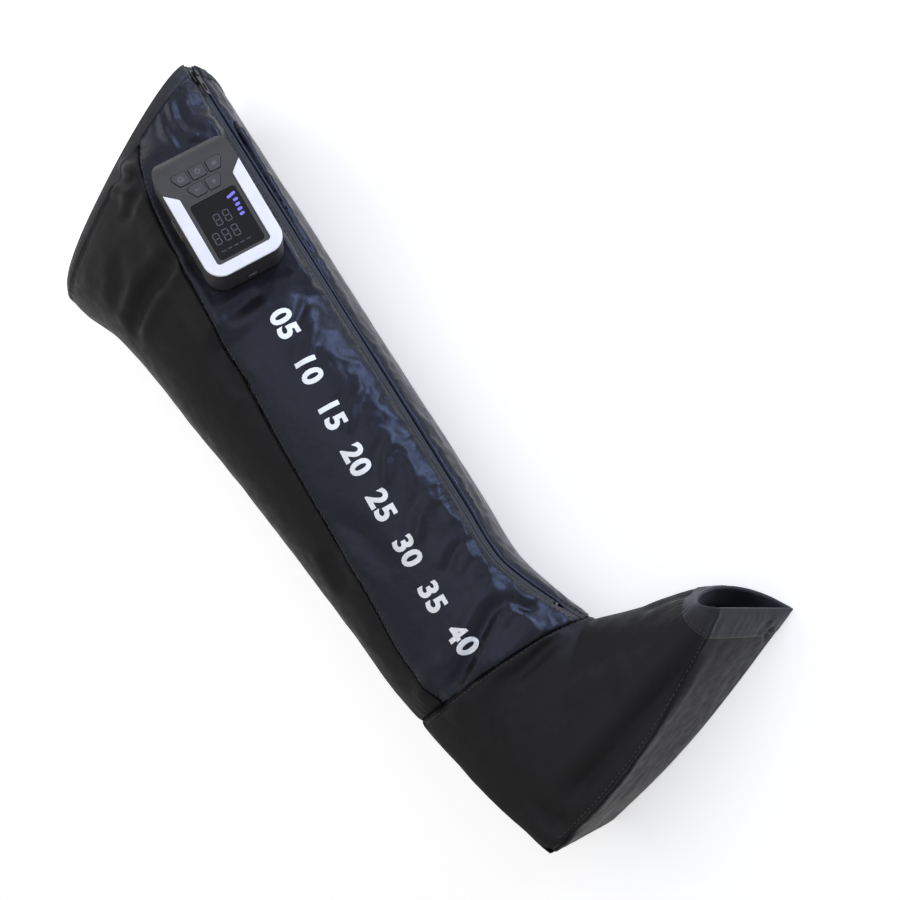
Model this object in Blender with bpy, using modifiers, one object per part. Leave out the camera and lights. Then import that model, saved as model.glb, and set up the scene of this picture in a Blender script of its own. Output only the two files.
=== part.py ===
"""Air compression leg sleeve with a clip-on pump controller, lying on its inner side.

Lengths are in metres, +Z is up and the sleeve lies on Z = 0. The leg runs along +Y from the heel
to the thigh, and the foot points along +X. The finished model is moved as one, so that the origin
is the bottom centre of its bounding box.
"""

from math import asin, cos, floor, pi, radians, sin

import bmesh
import bpy
import numpy as np
from mathutils import Matrix, Vector

# Fits shared by every piece
FIT = 0.0003
OVERRUN = 0.004

# Sleeve outline, seen from above
LEG_LENGTH = 0.820
BACK_REACH = 0.070
RIM_FRONT_X = 0.194
CALF_FRONT_X = 0.134
CALF_FRONT_Y = 0.240
RIM_ZIP_Z = 0.108
CALF_ZIP_Z = 0.110
THIGH_HEIGHT = 0.190
RIM_DIP = 0.016
CREASE_X = 0.153
CREASE_Y = 0.139
HEEL_X = 0.008
HEEL_Y = -0.009
FOOT_LENGTH = 0.292
TOE_RISE = 0.030
FOOT_HEIGHT = 0.140
TOE_SLANT = 0.005
TOE_TWIST = 0.028
END_LIFT = 0.0020
TABLE_PRESS_SHARE = 1.02

# Leg stations: back x (of BACK_REACH), back y and front y (of LEG_LENGTH), height (of THIGH_HEIGHT)
LEG_SHARES = (
    (1.000, 0.912, 1.000, 0.885),
    (0.890, 0.868, 0.939, 0.950),
    (0.610, 0.799, 0.857, 1.000),
    (0.500, 0.695, 0.746, 1.000),
    (0.490, 0.573, 0.613, 0.940),
    (0.550, 0.451, 0.479, 0.870),
    (0.630, 0.348, 0.366, 0.805),
)
# Ankle stations: back x (of BACK_REACH), back y, front x, front y (of the crease), height (of FOOT_HEIGHT),
# squareness of the back
ANKLE_SHARES = (
    (0.620, 1.220, 0.960, 1.060, 1.010, 0.30),
    (0.410, 0.800, 0.975, 1.040, 1.000, 0.60),
    (0.160, 0.370, 0.990, 1.015, 1.000, 0.85),
)
CALF_BACK_SHARES = (0.680, 1.620, 1.040, 0.10)
# Foot stations: sole x (of FOOT_LENGTH), sole y (of TOE_RISE), instep x (of FOOT_LENGTH),
# instep y (of CREASE_Y), height (of FOOT_HEIGHT)
FOOT_SHARES = (
    (0.233, -0.20, 0.620, 0.900, 1.000),
    (0.459, 0.03, 0.712, 0.813, 1.000),
    (0.685, 0.40, 0.791, 0.748, 0.986),
    (0.873, 0.77, 0.860, 0.690, 0.970),
    (1.000, 1.00, 0.918, 0.633, 0.957),
)
RIM, SEAM, HEEL, TOE = 0, 8, 11, 16
ZIP_END = 7.6
ZIP_CLOSED = 7.7

# Cross-section of the sleeve
ROUNDNESS = 2.3
SOLE_HALF_ANGLE = radians(38)
SOLE_WIDTH_SHARE = 0.95
SEAM_RIM_ANGLE = radians(62)
SEAM_ANKLE_ANGLE = radians(118)

# Fabric layers, as depths below the outer face
FABRIC = 0.0010
CHAMBER_DEPTH = 0.0021
CHAMBER_THICKNESS = 0.0065
CHAMBER_EDGE_SHARE = 0.35
CHAMBER_GAP_SHARE = 0.03
CHAMBER_RISE_ALONG = 3
CHAMBER_RISE_AROUND = 4
CHAMBER_FRONT_STEPS = 2
CHAMBER_INSTEP_STEPS = 3
LINING_DEPTH = 0.0140
LINING_EDGE_DEPTH = 0.0022
LINING_TAPER_SHARE = 1.0
SEAM_GAP_ANGLE = radians(0.3)
SOLE_GAP_ANGLE = radians(0.75)
SEAM_GAP_SHARE = 0.021
HEEL_GAP_SHARE = 0.024
BINDING = 0.0006
BINDING_SHARE = 0.25
BINDING_LIP_SHARE = 0.03

# Zip, as offsets across the front ridge
ZIP_WINDOW = 0.0070
TAPE_HALF_WIDTH = 0.0120
TAPE_THICKNESS = 0.0007
COIL_GAP = 0.0014
COIL_WIDTH = 0.0028
COIL_HEIGHT = 0.0024
SLIDER_LENGTH = 0.0150
SLIDER_WIDTH = 0.0110
SLIDER_PLATE = 0.0012
SLIDER_POST = 0.0006
SLIDER_PARK = 0.0150
BAIL_HEIGHT = 0.0036
BAIL_LENGTH = 0.0060
BAIL_WIDTH = 0.0036
PULL_LENGTH = 0.0260
PULL_WIDTH = 0.0070
PULL_THICKNESS = 0.0012
STOP_LENGTH = 0.0030

# Controller and its dock, in the dock's own frame: x across, y towards the hip, z out of the leg
DOCK_STATION = 2.48
DOCK_ANGLE = radians(46)
DOCK_TURN = radians(-1.4)
DOCK_SINK = 0.0040
FLAT_MARGIN_X = 0.0060
FLAT_MARGIN_Y = 0.0160
FLAT_FADE = 0.0300
FLAT_REACH = 0.050
ZIP_CLEAR = 0.0140
ZIP_FADE = 0.0080
CASE_WIDTH = 0.082
CASE_LENGTH = 0.136
CASE_RADIUS = 0.018
CASE_WALL = 0.0020
CASE_HEIGHT = 0.0400
CASE_SPLIT = 0.0200
FACE_WALL = 0.0028
ROLL_RADIUS = 0.0160
DOCK_THICKNESS = 0.0040
DOCK_INSET = 0.0020
TRIM_PROUD = 0.0015
TRIM_SEAT = 0.0012
TRIM_ARM = 0.0125
TRIM_END_ROOM = 0.0360
TRIM_SLANT = 0.0110
TRIM_CORNER = 0.0035
TRIM_BEVEL = 0.0008
LENS_GAP_X = 0.0045
LENS_GAP_Y = 0.0035
LENS_RADIUS = 0.0035
LENS_THICKNESS = 0.0012
LENS_RECESS = 0.0003
LENS_LEDGE = 0.0020
KEY_WIDTH = 0.0150
KEY_LENGTH = 0.0130
KEY_RADIUS = 0.0020
KEY_SLANT = 0.0040
KEY_PITCH_X = 0.0180
KEY_PITCH_Y = 0.0165
KEY_GAP = 0.0055
KEY_END_ROOM = 0.0230
KEY_PROUD = 0.0010
KEY_FLANGE = 0.0010
KEY_LIP = 0.0007
KEY_TRAVEL = 0.0006
KEY_CLEARANCE = 0.0005
MEMBRANE_THICKNESS = 0.0012
MEMBRANE_RIM = 0.0012
MEMBRANE_WIDTH = 0.0620
MEMBRANE_LENGTH = 0.0370
BOARD_MARGIN_X = 0.0130
BOARD_MARGIN_Y = 0.0160
BOARD_THICKNESS = 0.0016
BOSS_RADIUS = 0.0032
BOSS_INSET_X = 0.0140
BOSS_INSET_Y = 0.0105
POST_HEIGHT = 0.0050
SCREW_SEAT = 0.0035
SCREW_RADIUS = 0.0012
SCREW_HEAD_RADIUS = 0.0022
SCREW_HEAD = 0.0014
SCREW_LENGTH = 0.0120
CELL_RADIUS_SHARE = 0.111
CELL_GAP = 0.0008
CELL_SIDE_ROOM = 0.0054
CELL_START = 0.0145
BAY_END_ROOM = 0.0565
MOTOR_RADIUS_SHARE = 0.140
MOTOR_LENGTH_SHARE = 0.460
MOTOR_SIDE_ROOM = 0.0075
MOTOR_START = 0.0160
PUMP_WIDTH_SHARE = 0.292
PUMP_LENGTH_SHARE = 0.400
CRANK_ROOM = 0.0080
SHAFT_RADIUS = 0.0010
SHAFT_LENGTH = 0.0080
SHAFT_SHOWING = 0.0020
CRANK_RADIUS = 0.0045
CRANK_THICKNESS = 0.0024
CRANK_THROW = 0.0026
CRANK_PIN_RADIUS = 0.0012
CRANK_PIN_LENGTH = 0.0060
PUMP_HEIGHT = 0.0220
PORT_INSET = 0.0280
PORT_PITCH = 0.0120
PORT_COUNT = 5
PORT_RADIUS = 0.0020
NOZZLE_RADIUS = 0.0036
VALVE_BLOCK_LENGTH = 0.0140
VALVE_BLOCK_HEIGHT = 0.0080
VALVE_RADIUS = 0.0048
VALVE_HEIGHT = 0.0110
GASKET_THICKNESS = 0.0020
GASKET_LENGTH = 0.0110
BACKING_THICKNESS = 0.0020
BACKING_EDGE = 0.0014
BACKING_INSET = 0.0080
STAKE_RADIUS = 0.0020
STAKE_X = 0.0240
STAKE_INSET = 0.0160
HOSE_RADIUS = 0.0025
HOSE_DEPTH = 0.0075
HOSE_BLOCK_HEIGHT = 0.0065
HOSE_BLOCK_LENGTH = 0.0120
LANE_SHARE = 0.38
LANE_STEP_SHARE = 0.195
HOSE_STEP = 0.025
HOSE_LEADS = (2, 5)
LANE_REACH = 1.5
LANE_MERGE = 0.2
LANE_START = 0.8
LANE_END = 0.3
LANE_PACE = 0.5
LATCH_Y = 0.0050
LATCH_Z = 0.0110
LATCH_LENGTH = 0.0240
LATCH_HEIGHT = 0.0090
LATCH_PROUD = 0.0016
LATCH_TRAVEL = 0.0015
LATCH_FLANGE = 0.0015
LATCH_LIP = 0.0015
LATCH_ARM_THICKNESS = 0.0012
LATCH_ARM_LENGTH = 0.0080
SOCKET_WIDTH = 0.0090
SOCKET_HEIGHT = 0.0032
SOCKET_DEPTH = 0.0070
SOCKET_WALL = 0.0004
SOCKET_Z = 0.0080

# Places in the dock's frame that follow from the case: y runs to the hip, x to the zip
TRIM_ARM_OUTER_Y = CASE_LENGTH / 2 - TRIM_END_ROOM
TRIM_ARM_INNER_Y = TRIM_ARM_OUTER_Y - TRIM_SLANT
LENS_WIDTH = CASE_WIDTH - 2 * (TRIM_ARM + LENS_GAP_X)
LENS_LENGTH = CASE_LENGTH - TRIM_ARM - LENS_GAP_Y - KEY_GAP - KEY_LENGTH - KEY_PITCH_Y - KEY_END_ROOM
LENS_Y = -CASE_LENGTH / 2 + TRIM_ARM + LENS_GAP_Y + LENS_LENGTH / 2
KEY_ROW_Y = LENS_Y + LENS_LENGTH / 2 + KEY_GAP + KEY_LENGTH / 2
BOARD_WIDTH = CASE_WIDTH - 2 * BOARD_MARGIN_X
BOARD_LENGTH = CASE_LENGTH - 2 * BOARD_MARGIN_Y
BOSS_X = CASE_WIDTH / 2 - BOSS_INSET_X
BOSS_Y = CASE_LENGTH / 2 - BOSS_INSET_Y
PORT_Y = CASE_LENGTH / 2 - PORT_INSET
BACKING_WIDTH = PORT_PITCH * (PORT_COUNT - 1) + 2 * (NOZZLE_RADIUS + BACKING_EDGE)
BACKING_LENGTH = CASE_LENGTH - 2 * BACKING_INSET
STAKE_Y = CASE_LENGTH / 2 - STAKE_INSET
CELL_RADIUS = CASE_WIDTH * CELL_RADIUS_SHARE
CELL_LENGTH = CASE_LENGTH - CELL_START - BAY_END_ROOM
CELL_Y = -CASE_LENGTH / 2 + CELL_START + CELL_LENGTH / 2
OUTER_CELL_X = CASE_WIDTH / 2 - CASE_WALL - CELL_SIDE_ROOM - CELL_RADIUS
CELL_X = (OUTER_CELL_X - 2 * CELL_RADIUS - CELL_GAP, OUTER_CELL_X)
MOTOR_RADIUS = CASE_WIDTH * MOTOR_RADIUS_SHARE
MOTOR_LENGTH = CELL_LENGTH * MOTOR_LENGTH_SHARE
MOTOR_Y = -CASE_LENGTH / 2 + MOTOR_START + MOTOR_LENGTH / 2
PUMP_X = -CASE_WIDTH / 2 + CASE_WALL + MOTOR_SIDE_ROOM + MOTOR_RADIUS
PUMP_WIDTH = CASE_WIDTH * PUMP_WIDTH_SHARE
PUMP_LENGTH = CELL_LENGTH * PUMP_LENGTH_SHARE
PUMP_START_Y = MOTOR_Y + MOTOR_LENGTH / 2 + CRANK_ROOM

# Heights in the dock's frame that follow from the stack
DOCK_TOP = FIT + DOCK_THICKNESS
BASE = DOCK_TOP + FIT
FLOOR = BASE + CASE_WALL
SPLIT = BASE + CASE_SPLIT
FACE = BASE + CASE_HEIGHT - TRIM_PROUD
CEILING = FACE - FACE_WALL
KEY_FOOT = CEILING - FIT - KEY_FLANGE
MEMBRANE_TOP = KEY_FOOT - KEY_TRAVEL - FIT
BOARD_TOP = MEMBRANE_TOP - MEMBRANE_THICKNESS - FIT

# Ring and segment counts
LEG_SEGMENTS = (1, 9, 10, 6, 1)
FOOT_SEGMENTS = (8, 3, 8)
ARC_STEPS = 3
RING_GAP = 0.1
SLOPE_STEP = 0.02
HALVINGS = 30
ROUND_SIDES = 14


def clamp01(value):
    return min(max(value, 0.0), 1.0)


def ease(value):
    """Smooth step from 0 to 1."""
    value = clamp01(value)
    return value * value * (3 - 2 * value)


def front_line(y):
    """Where the straight zip line is at height y of the leg: its x and its z."""
    share = (y - CALF_FRONT_Y) / (LEG_LENGTH - CALF_FRONT_Y)
    x = CALF_FRONT_X + (RIM_FRONT_X - CALF_FRONT_X) * share
    return x, CALF_ZIP_Z + (RIM_ZIP_Z - CALF_ZIP_Z) * share


def leg_rows():
    """Stations from the thigh rim to the heel: back x, back y, front x, front y, height, ridge z, squareness."""
    rows = []
    for back_x, back_y, front_y, height in LEG_SHARES:
        x, z = front_line(front_y * LEG_LENGTH)
        rows.append((-back_x * BACK_REACH, back_y * LEG_LENGTH, x, front_y * LEG_LENGTH,
                     height * THIGH_HEIGHT, z, 0))
    back_x, back_y, height, square = CALF_BACK_SHARES
    rows.append((-back_x * BACK_REACH, back_y * CREASE_Y, CALF_FRONT_X, CALF_FRONT_Y,
                 height * FOOT_HEIGHT, CALF_ZIP_Z, square))
    for back_x, back_y, front_x, front_y, height, square in ANKLE_SHARES:
        rows.append((-back_x * BACK_REACH, back_y * CREASE_Y, front_x * CREASE_X, front_y * CREASE_Y,
                     height * FOOT_HEIGHT, height * FOOT_HEIGHT / 2, square))
    rows.append((HEEL_X, HEEL_Y, CREASE_X, CREASE_Y, FOOT_HEIGHT, FOOT_HEIGHT / 2, 1))
    return np.array(rows)


def foot_rows():
    """Stations from the heel to the toe, in the same columns."""
    rows = [(HEEL_X, HEEL_Y, CREASE_X, CREASE_Y, FOOT_HEIGHT, FOOT_HEIGHT / 2, 1)]
    for sole_x, sole_y, instep_x, instep_y, height in FOOT_SHARES:
        rows.append((sole_x * FOOT_LENGTH, sole_y * TOE_RISE, instep_x * FOOT_LENGTH, instep_y * CREASE_Y,
                     height * FOOT_HEIGHT, height * FOOT_HEIGHT / 2, 1))
    return np.array(rows)


LEG_ROWS = leg_rows()
FOOT_ROWS = foot_rows()


def monotone(rows, position):
    """Monotone cubic through rows at whole numbers, straight beyond both ends."""
    last = len(rows) - 1
    index = min(max(floor(position), 0), last - 1)
    share = position - index
    slopes = np.diff(rows, axis=0)

    def tangent(i):
        if i in (0, last):
            return slopes[min(i, last - 1)]
        before, after = slopes[i - 1], slopes[i]
        total = np.where(before * after > 0, before + after, 1)
        return np.where(before * after > 0, 2 * before * after / total, 0)

    start, end = tangent(index), tangent(index + 1)
    if share < 0:
        return rows[0] + start * share
    if share > 1:
        return rows[-1] + end * (share - 1)
    square, cube = share * share, share**3
    return (rows[index] * (2 * cube - 3 * square + 1) + start * (cube - 2 * square + share)
            + rows[index + 1] * (3 * square - 2 * cube) + end * (cube - square))


def station(place):
    """The section's row at a station number, from RIM to TOE."""
    return monotone(LEG_ROWS, place) if place <= HEEL else monotone(FOOT_ROWS, place - HEEL)


def unit_section(angle, square):
    """Section shape at an angle from the front ridge: across (1 front, -1 back) and rise (0 ridge, 1 side)."""
    turn = abs((angle + pi) % (2 * pi) - pi)
    across = abs(cos(turn)) ** (2 / ROUNDNESS) * (1 if cos(turn) > 0 else -1)
    rise = sin(turn) ** (2 / ROUNDNESS)
    edge = asin(SOLE_WIDTH_SHARE)
    if turn > pi - SOLE_HALF_ANGLE:
        box_across, box_rise = -1, SOLE_WIDTH_SHARE * (pi - turn) / SOLE_HALF_ANGLE
    else:
        swing = turn / (pi - SOLE_HALF_ANGLE) * (pi - edge)
        box_across = 1 - 2 * (1 - cos(swing)) / (1 + cos(edge))
        box_rise = sin(swing)
    return across + (box_across - across) * square, rise + (box_rise - rise) * square


def plain_point(place, angle, depth=0.0):
    """A point of the sleeve before the dock flattens it, depth below its outer face."""
    back_x, back_y, front_x, front_y, height, ridge, square = station(place)
    across, rise = unit_section(angle, square)
    back, front = np.array((back_x, back_y)), np.array((front_x, front_y))
    inward = (front - back) / np.linalg.norm(front - back) * depth
    back, front = back + inward, front - inward
    x, y = (back + front) / 2 + (front - back) / 2 * across
    level = height / 2 + (ridge - height / 2) * (1 + across) / 2
    if sin(angle) >= 0:
        z = level + rise * (height - depth - level)
    else:
        z = level - min(rise * TABLE_PRESS_SHARE, 1) * (level - depth)
        z += END_LIFT * (ease(1 - place) + ease(1 - (TOE - place))) * (1 - z / level)
    y -= RIM_DIP * abs(sin(angle)) * ease(1 - place / 2)
    toeward = clamp01((place - HEEL) / (TOE - HEEL))
    x -= TOE_SLANT * ease(toeward) * z / height
    y += TOE_TWIST * toeward**2 * z / height * (1 - across) / 2
    return Vector((x, y, z))


def dock_frame(place, angle, turn):
    """Matrix of the dock: its origin on the fabric, x across the leg, y towards the hip, z outwards."""
    here = plain_point(place, angle)
    around = plain_point(place, angle + SLOPE_STEP) - plain_point(place, angle - SLOPE_STEP)
    along = plain_point(place - SLOPE_STEP, angle) - plain_point(place + SLOPE_STEP, angle)
    out = along.cross(around).normalized()
    hip = plain_point(1, 0) - plain_point(3, 0)
    hip = (hip - out * hip.dot(out)).normalized()
    hip.rotate(Matrix.Rotation(turn, 3, out))
    across = hip.cross(out)
    matrix = Matrix((across, hip, out)).transposed().to_4x4()
    matrix.translation = here - out * DOCK_SINK
    return matrix


DOCK = dock_frame(DOCK_STATION, DOCK_ANGLE, DOCK_TURN)
DOCK_INVERSE = DOCK.inverted()


def sleeve_point(place, angle, depth=0.0):
    """A point of the sleeve, depth below its outer face, with the fabric pulled flat under the dock."""
    surface = plain_point(place, angle)
    over = DOCK_INVERSE @ surface
    over_x = max(abs(over.x) - CASE_WIDTH / 2 - FLAT_MARGIN_X, 0)
    over_y = max(abs(over.y) - CASE_LENGTH / 2 - FLAT_MARGIN_Y, 0)
    hold = ease(1 - (over_x**2 + over_y**2) ** 0.5 / FLAT_FADE)
    hold *= ease((abs(surface.z - plain_point(place, 0).z) - ZIP_CLEAR) / ZIP_FADE)
    point = plain_point(place, angle, depth)
    if hold == 0 or abs(over.z) > FLAT_REACH:
        return point
    local = DOCK_INVERSE @ point
    local.z += hold * (-depth - local.z)
    return DOCK @ local


def ridge_angle(place, offset):
    """Angle at which the section lies this far from the front ridge, measured up or down."""
    middle = plain_point(place, 0).z
    low, high = 0.0, pi / 4
    sign = 1 if offset > 0 else -1
    for _ in range(HALVINGS):
        angle = (low + high) / 2
        if abs(plain_point(place, sign * angle).z - middle) < abs(offset):
            low = angle
        else:
            high = angle
    return sign * low


def seam_angle(place):
    """Angle of the long seam beside the printed panel."""
    return SEAM_RIM_ANGLE + (SEAM_ANKLE_ANGLE - SEAM_RIM_ANGLE) * clamp01(place / SEAM)


def zip_window(place):
    """Half the gap in the fabric at the zip, which closes below the zip's end."""
    closing = clamp01((place - ZIP_END) / (ZIP_CLOSED - ZIP_END))
    return ZIP_WINDOW + (COIL_GAP / 2 - ZIP_WINDOW) * closing


def broken(breaks, counts):
    """Angles through the breaks, with a count of even steps between each pair."""
    angles = [breaks[0]]
    for low, high, count in zip(breaks, breaks[1:], counts):
        angles += [low + (high - low) * i / count for i in range(1, count + 1)]
    return angles


def leg_angles(place):
    """Angles round the leg from the zip's upper edge to its lower edge, broken at both long seams."""
    seam = seam_angle(place)
    near = zip_window(place)
    far = near + TAPE_HALF_WIDTH - ZIP_WINDOW
    breaks = (ridge_angle(place, near), ridge_angle(place, far), seam,
              2 * pi - seam, 2 * pi + ridge_angle(place, -far), 2 * pi + ridge_angle(place, -near))
    return broken(breaks, LEG_SEGMENTS)


def foot_angles():
    """Angles round the foot from the instep and back to it, broken at both edges of the sole."""
    return broken((0.0, pi - SOLE_HALF_ANGLE, pi + SOLE_HALF_ANGLE, 2 * pi), FOOT_SEGMENTS)


OUTER_STATIONS = (0, BINDING_SHARE, 0.6, 1, 1.3, 1.6, 1.9, 2.2, 2.5, 2.8, 3, 3.15, 3.3, 3.5, 4, 4.7, 5.4, 6.1,
                  6.7, 7, 7.3, ZIP_END, ZIP_CLOSED, 8, 8.7, 9.4, 10.2, 11, 11.5, 12, 12.7, 13.4, 14.1, 14.8,
                  15.3, TOE - BINDING_SHARE, 16)
INNER_STATIONS = (0, 0.6, 1, 1.6, 2.2, 2.8, 3.3, 4, 4.7, 5.4, 6.1, 7, ZIP_END, 8, 8.7, 9.4, 10.2, 11, 12, 13.4,
                  14.8, 16)
ZIP_STATIONS = (0, 1, 2.2, 3.3, 4.7, 6.1, 6.7, 7, 7.3, ZIP_END)


def places(low, high, stations=OUTER_STATIONS):
    """Ring stations between two station numbers, both included."""
    return [low] + [s for s in stations if low + RING_GAP < s < high - RING_GAP] + [high]


def lining_depth(place):
    """Depth of the lining: shallow at the rim and the toe, where it is sewn to the outer fabric."""
    share = min(place - RIM, TOE - place) / LINING_TAPER_SHARE
    return LINING_EDGE_DEPTH + (LINING_DEPTH - LINING_EDGE_DEPTH) * clamp01(share)


# Materials: colour, roughness and metallic value
MATERIALS = {
    "nylon_navy": ((0.030, 0.034, 0.055), 0.38, 0.0),
    "nylon_black": ((0.018, 0.018, 0.021), 0.55, 0.0),
    "lining_fabric": ((0.050, 0.050, 0.056), 0.80, 0.0),
    "air_chamber_film": ((0.25, 0.27, 0.30), 0.45, 0.0),
    "hose_vinyl": ((0.55, 0.58, 0.60), 0.30, 0.0),
    "zip_fabric": ((0.012, 0.012, 0.015), 0.75, 0.0),
    "zip_coil": ((0.010, 0.010, 0.012), 0.35, 0.0),
    "slider_metal": ((0.050, 0.052, 0.056), 0.35, 0.9),
    "case_black": ((0.028, 0.027, 0.027), 0.42, 0.0),
    "trim_white": ((0.80, 0.79, 0.80), 0.35, 0.0),
    "lens_black": ((0.010, 0.010, 0.012), 0.08, 0.0),
    "key_black": ((0.034, 0.033, 0.033), 0.50, 0.0),
    "silicone": ((0.10, 0.10, 0.11), 0.60, 0.0),
    "circuit_board": ((0.02, 0.12, 0.05), 0.50, 0.0),
    "cell_wrap": ((0.05, 0.18, 0.42), 0.35, 0.0),
    "bright_metal": ((0.60, 0.60, 0.61), 0.30, 1.0),
    "pump_plastic": ((0.70, 0.70, 0.68), 0.45, 0.0),
}


def clear_scene():
    for obj in list(bpy.data.objects):
        bpy.data.objects.remove(obj)


def make_collection(name):
    made = bpy.data.collections.new(name)
    bpy.context.scene.collection.children.link(made)
    return made


clear_scene()
PARTS = make_collection("leg_sleeve")
CUTTERS = make_collection("cutters")


def material(slot):
    found = bpy.data.materials.get(slot)
    if found:
        return found
    colour, roughness, metallic = MATERIALS[slot]
    made = bpy.data.materials.new(slot)
    made.use_nodes = True
    shader = made.node_tree.nodes["Principled BSDF"]
    shader.inputs["Base Color"].default_value = (*colour, 1)
    shader.inputs["Roughness"].default_value = roughness
    shader.inputs["Metallic"].default_value = metallic
    made.diffuse_color = (*colour, 1)
    return made


def make_empty(name, parent, matrix):
    empty = bpy.data.objects.new(name, None)
    PARTS.objects.link(empty)
    empty.parent = parent
    empty.matrix_local = matrix
    return empty


ORIGIN = make_empty("sleeve_origin", None, Matrix.Identity(4))
DOCK_FRAME = make_empty("dock_frame", ORIGIN, DOCK)


def add_object(name, mesh, slot, parent=None, smooth=False):
    """Links a mesh as a part of the model, or as a cutter where slot is None."""
    obj = bpy.data.objects.new(name, mesh)
    (PARTS if slot else CUTTERS).objects.link(obj)
    obj.parent = parent or ORIGIN
    if slot:
        mesh.materials.append(material(slot))
    else:
        obj.hide_render = True
        obj.display_type = "WIRE"
    if smooth:
        mesh.shade_smooth()
        mesh.set_sharp_from_angle(angle=radians(40))
    return obj


def mesh_from(bm, name):
    bmesh.ops.recalc_face_normals(bm, faces=bm.faces)
    mesh = bpy.data.meshes.new(name)
    bm.to_mesh(mesh)
    bm.free()
    return mesh


def boolean(target, operand, operation):
    modifier = target.modifiers.new(operation.lower(), "BOOLEAN")
    modifier.operation = operation
    modifier.object = operand
    modifier.solver = "EXACT"


def cut(target, *cutters):
    for cutter in cutters:
        boolean(target, cutter, "DIFFERENCE")


def join(target, *others):
    for other in others:
        boolean(target, other, "UNION")


def block(name, size, centre, slot=None, parent=None, bevel=0.0):
    """A box by its size and centre, with its edges rounded."""
    bm = bmesh.new()
    bmesh.ops.create_cube(bm, size=1)
    bmesh.ops.scale(bm, vec=size, verts=bm.verts)
    bmesh.ops.translate(bm, vec=centre, verts=bm.verts)
    if bevel:
        bmesh.ops.bevel(bm, geom=bm.edges[:], offset=bevel, segments=1, affect="EDGES", clamp_overlap=True)
    return add_object(name, mesh_from(bm, name), slot, parent)


def rod(name, radius, start, end, slot=None, parent=None, sides=ROUND_SIDES):
    """A cylinder between two points."""
    start, end = Vector(start), Vector(end)
    bm = bmesh.new()
    turn = (end - start).to_track_quat("Z", "Y").to_matrix().to_4x4()
    place = Matrix.Translation((start + end) / 2) @ turn
    bmesh.ops.create_cone(bm, cap_ends=True, segments=sides, radius1=radius, radius2=radius,
                          depth=(end - start).length, matrix=place)
    return add_object(name, mesh_from(bm, name), slot, parent, smooth=True)


def corner_arc(before, corner, after, radius):
    """Points of the arc that rounds a corner of a polygon."""
    before, corner, after = Vector(before), Vector(corner), Vector(after)
    inward, outward = (before - corner).normalized(), (after - corner).normalized()
    half = inward.angle(outward) / 2
    middle = corner + (inward + outward).normalized() * radius / sin(half)
    first = corner + inward * radius * cos(half) / sin(half) - middle
    last = corner + outward * radius * cos(half) / sin(half) - middle
    points = []
    for i in range(ARC_STEPS + 1):
        share = i / ARC_STEPS
        points.append(middle + (first * (1 - share) + last * share).normalized() * radius)
    return points


def rounded(corners, radius):
    """A polygon with every corner rounded. radius may be a list, one for each corner, and 0 keeps it sharp."""
    radii = radius if isinstance(radius, (list, tuple)) else [radius] * len(corners)
    points = []
    for i, (corner, size) in enumerate(zip(corners, radii)):
        after = corners[(i + 1) % len(corners)]
        points += corner_arc(corners[i - 1], corner, after, size) if size else [Vector(corner)]
    return points


def rectangle(width, length, radius, x=0.0, y=0.0):
    corners = [(x - width / 2, y - length / 2), (x + width / 2, y - length / 2),
               (x + width / 2, y + length / 2), (x - width / 2, y + length / 2)]
    return rounded(corners, radius)


def prism(name, outline, low, high, slot=None, parent=None, bevel=0.0, turn=None):
    """A flat outline with a thickness, from low to high along its own z. turn lays it another way."""
    curve = bpy.data.curves.new(name, "CURVE")
    curve.dimensions = "2D"
    curve.fill_mode = "BOTH"
    curve.extrude = (high - low) / 2
    spline = curve.splines.new("POLY")
    spline.points.add(len(outline) - 1)
    for point, (x, y) in zip(spline.points, outline):
        point.co = (x, y, 0, 1)
    spline.use_cyclic_u = True
    drawn = bpy.data.objects.new(name + "_outline", curve)
    CUTTERS.objects.link(drawn)
    bpy.context.view_layer.update()
    mesh = bpy.data.meshes.new_from_object(drawn.evaluated_get(bpy.context.evaluated_depsgraph_get()))
    bpy.data.objects.remove(drawn)
    bm = bmesh.new()
    bm.from_mesh(mesh)
    bmesh.ops.remove_doubles(bm, verts=bm.verts, dist=FIT / 10)
    bmesh.ops.translate(bm, vec=(0, 0, (low + high) / 2), verts=bm.verts)
    if bevel:
        bmesh.ops.dissolve_limit(bm, angle_limit=radians(1), verts=bm.verts, edges=bm.edges)
        rims = [e for e in bm.edges if e.calc_face_angle(0) > radians(60)]
        bmesh.ops.bevel(bm, geom=rims, offset=bevel, segments=1, affect="EDGES", clamp_overlap=True)
    if turn:
        bmesh.ops.transform(bm, matrix=turn, verts=bm.verts)
    return add_object(name, mesh_from(bm, name), slot, parent)


def sheet(name, rings, thickness, slot, crown=None, closed=False):
    """A fabric or film piece: a grid of rings of points on its outer face, thickened inwards.

    crown gives each point's share of the full thickness. closed joins each ring's ends.
    """
    bm = bmesh.new()
    grid = [[bm.verts.new(point) for point in ring] for ring in rings]
    count = len(rings[0])
    for near, far in zip(grid, grid[1:]):
        for j in range(count if closed else count - 1):
            k = (j + 1) % count
            bm.faces.new((near[j], near[k], far[k], far[j]))
    mesh = bpy.data.meshes.new(name)
    bm.to_mesh(mesh)
    bm.free()
    obj = add_object(name, mesh, slot, smooth=True)
    solidify = obj.modifiers.new("thickness", "SOLIDIFY")
    solidify.thickness = thickness
    solidify.offset = -1
    solidify.use_even_offset = crown is None
    if crown:
        group = obj.vertex_groups.new(name="crown")
        for i, row in enumerate(crown):
            for j, share in enumerate(row):
                group.add([i * count + j], share, "REPLACE")
        solidify.vertex_group = group.name
    return obj


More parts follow.
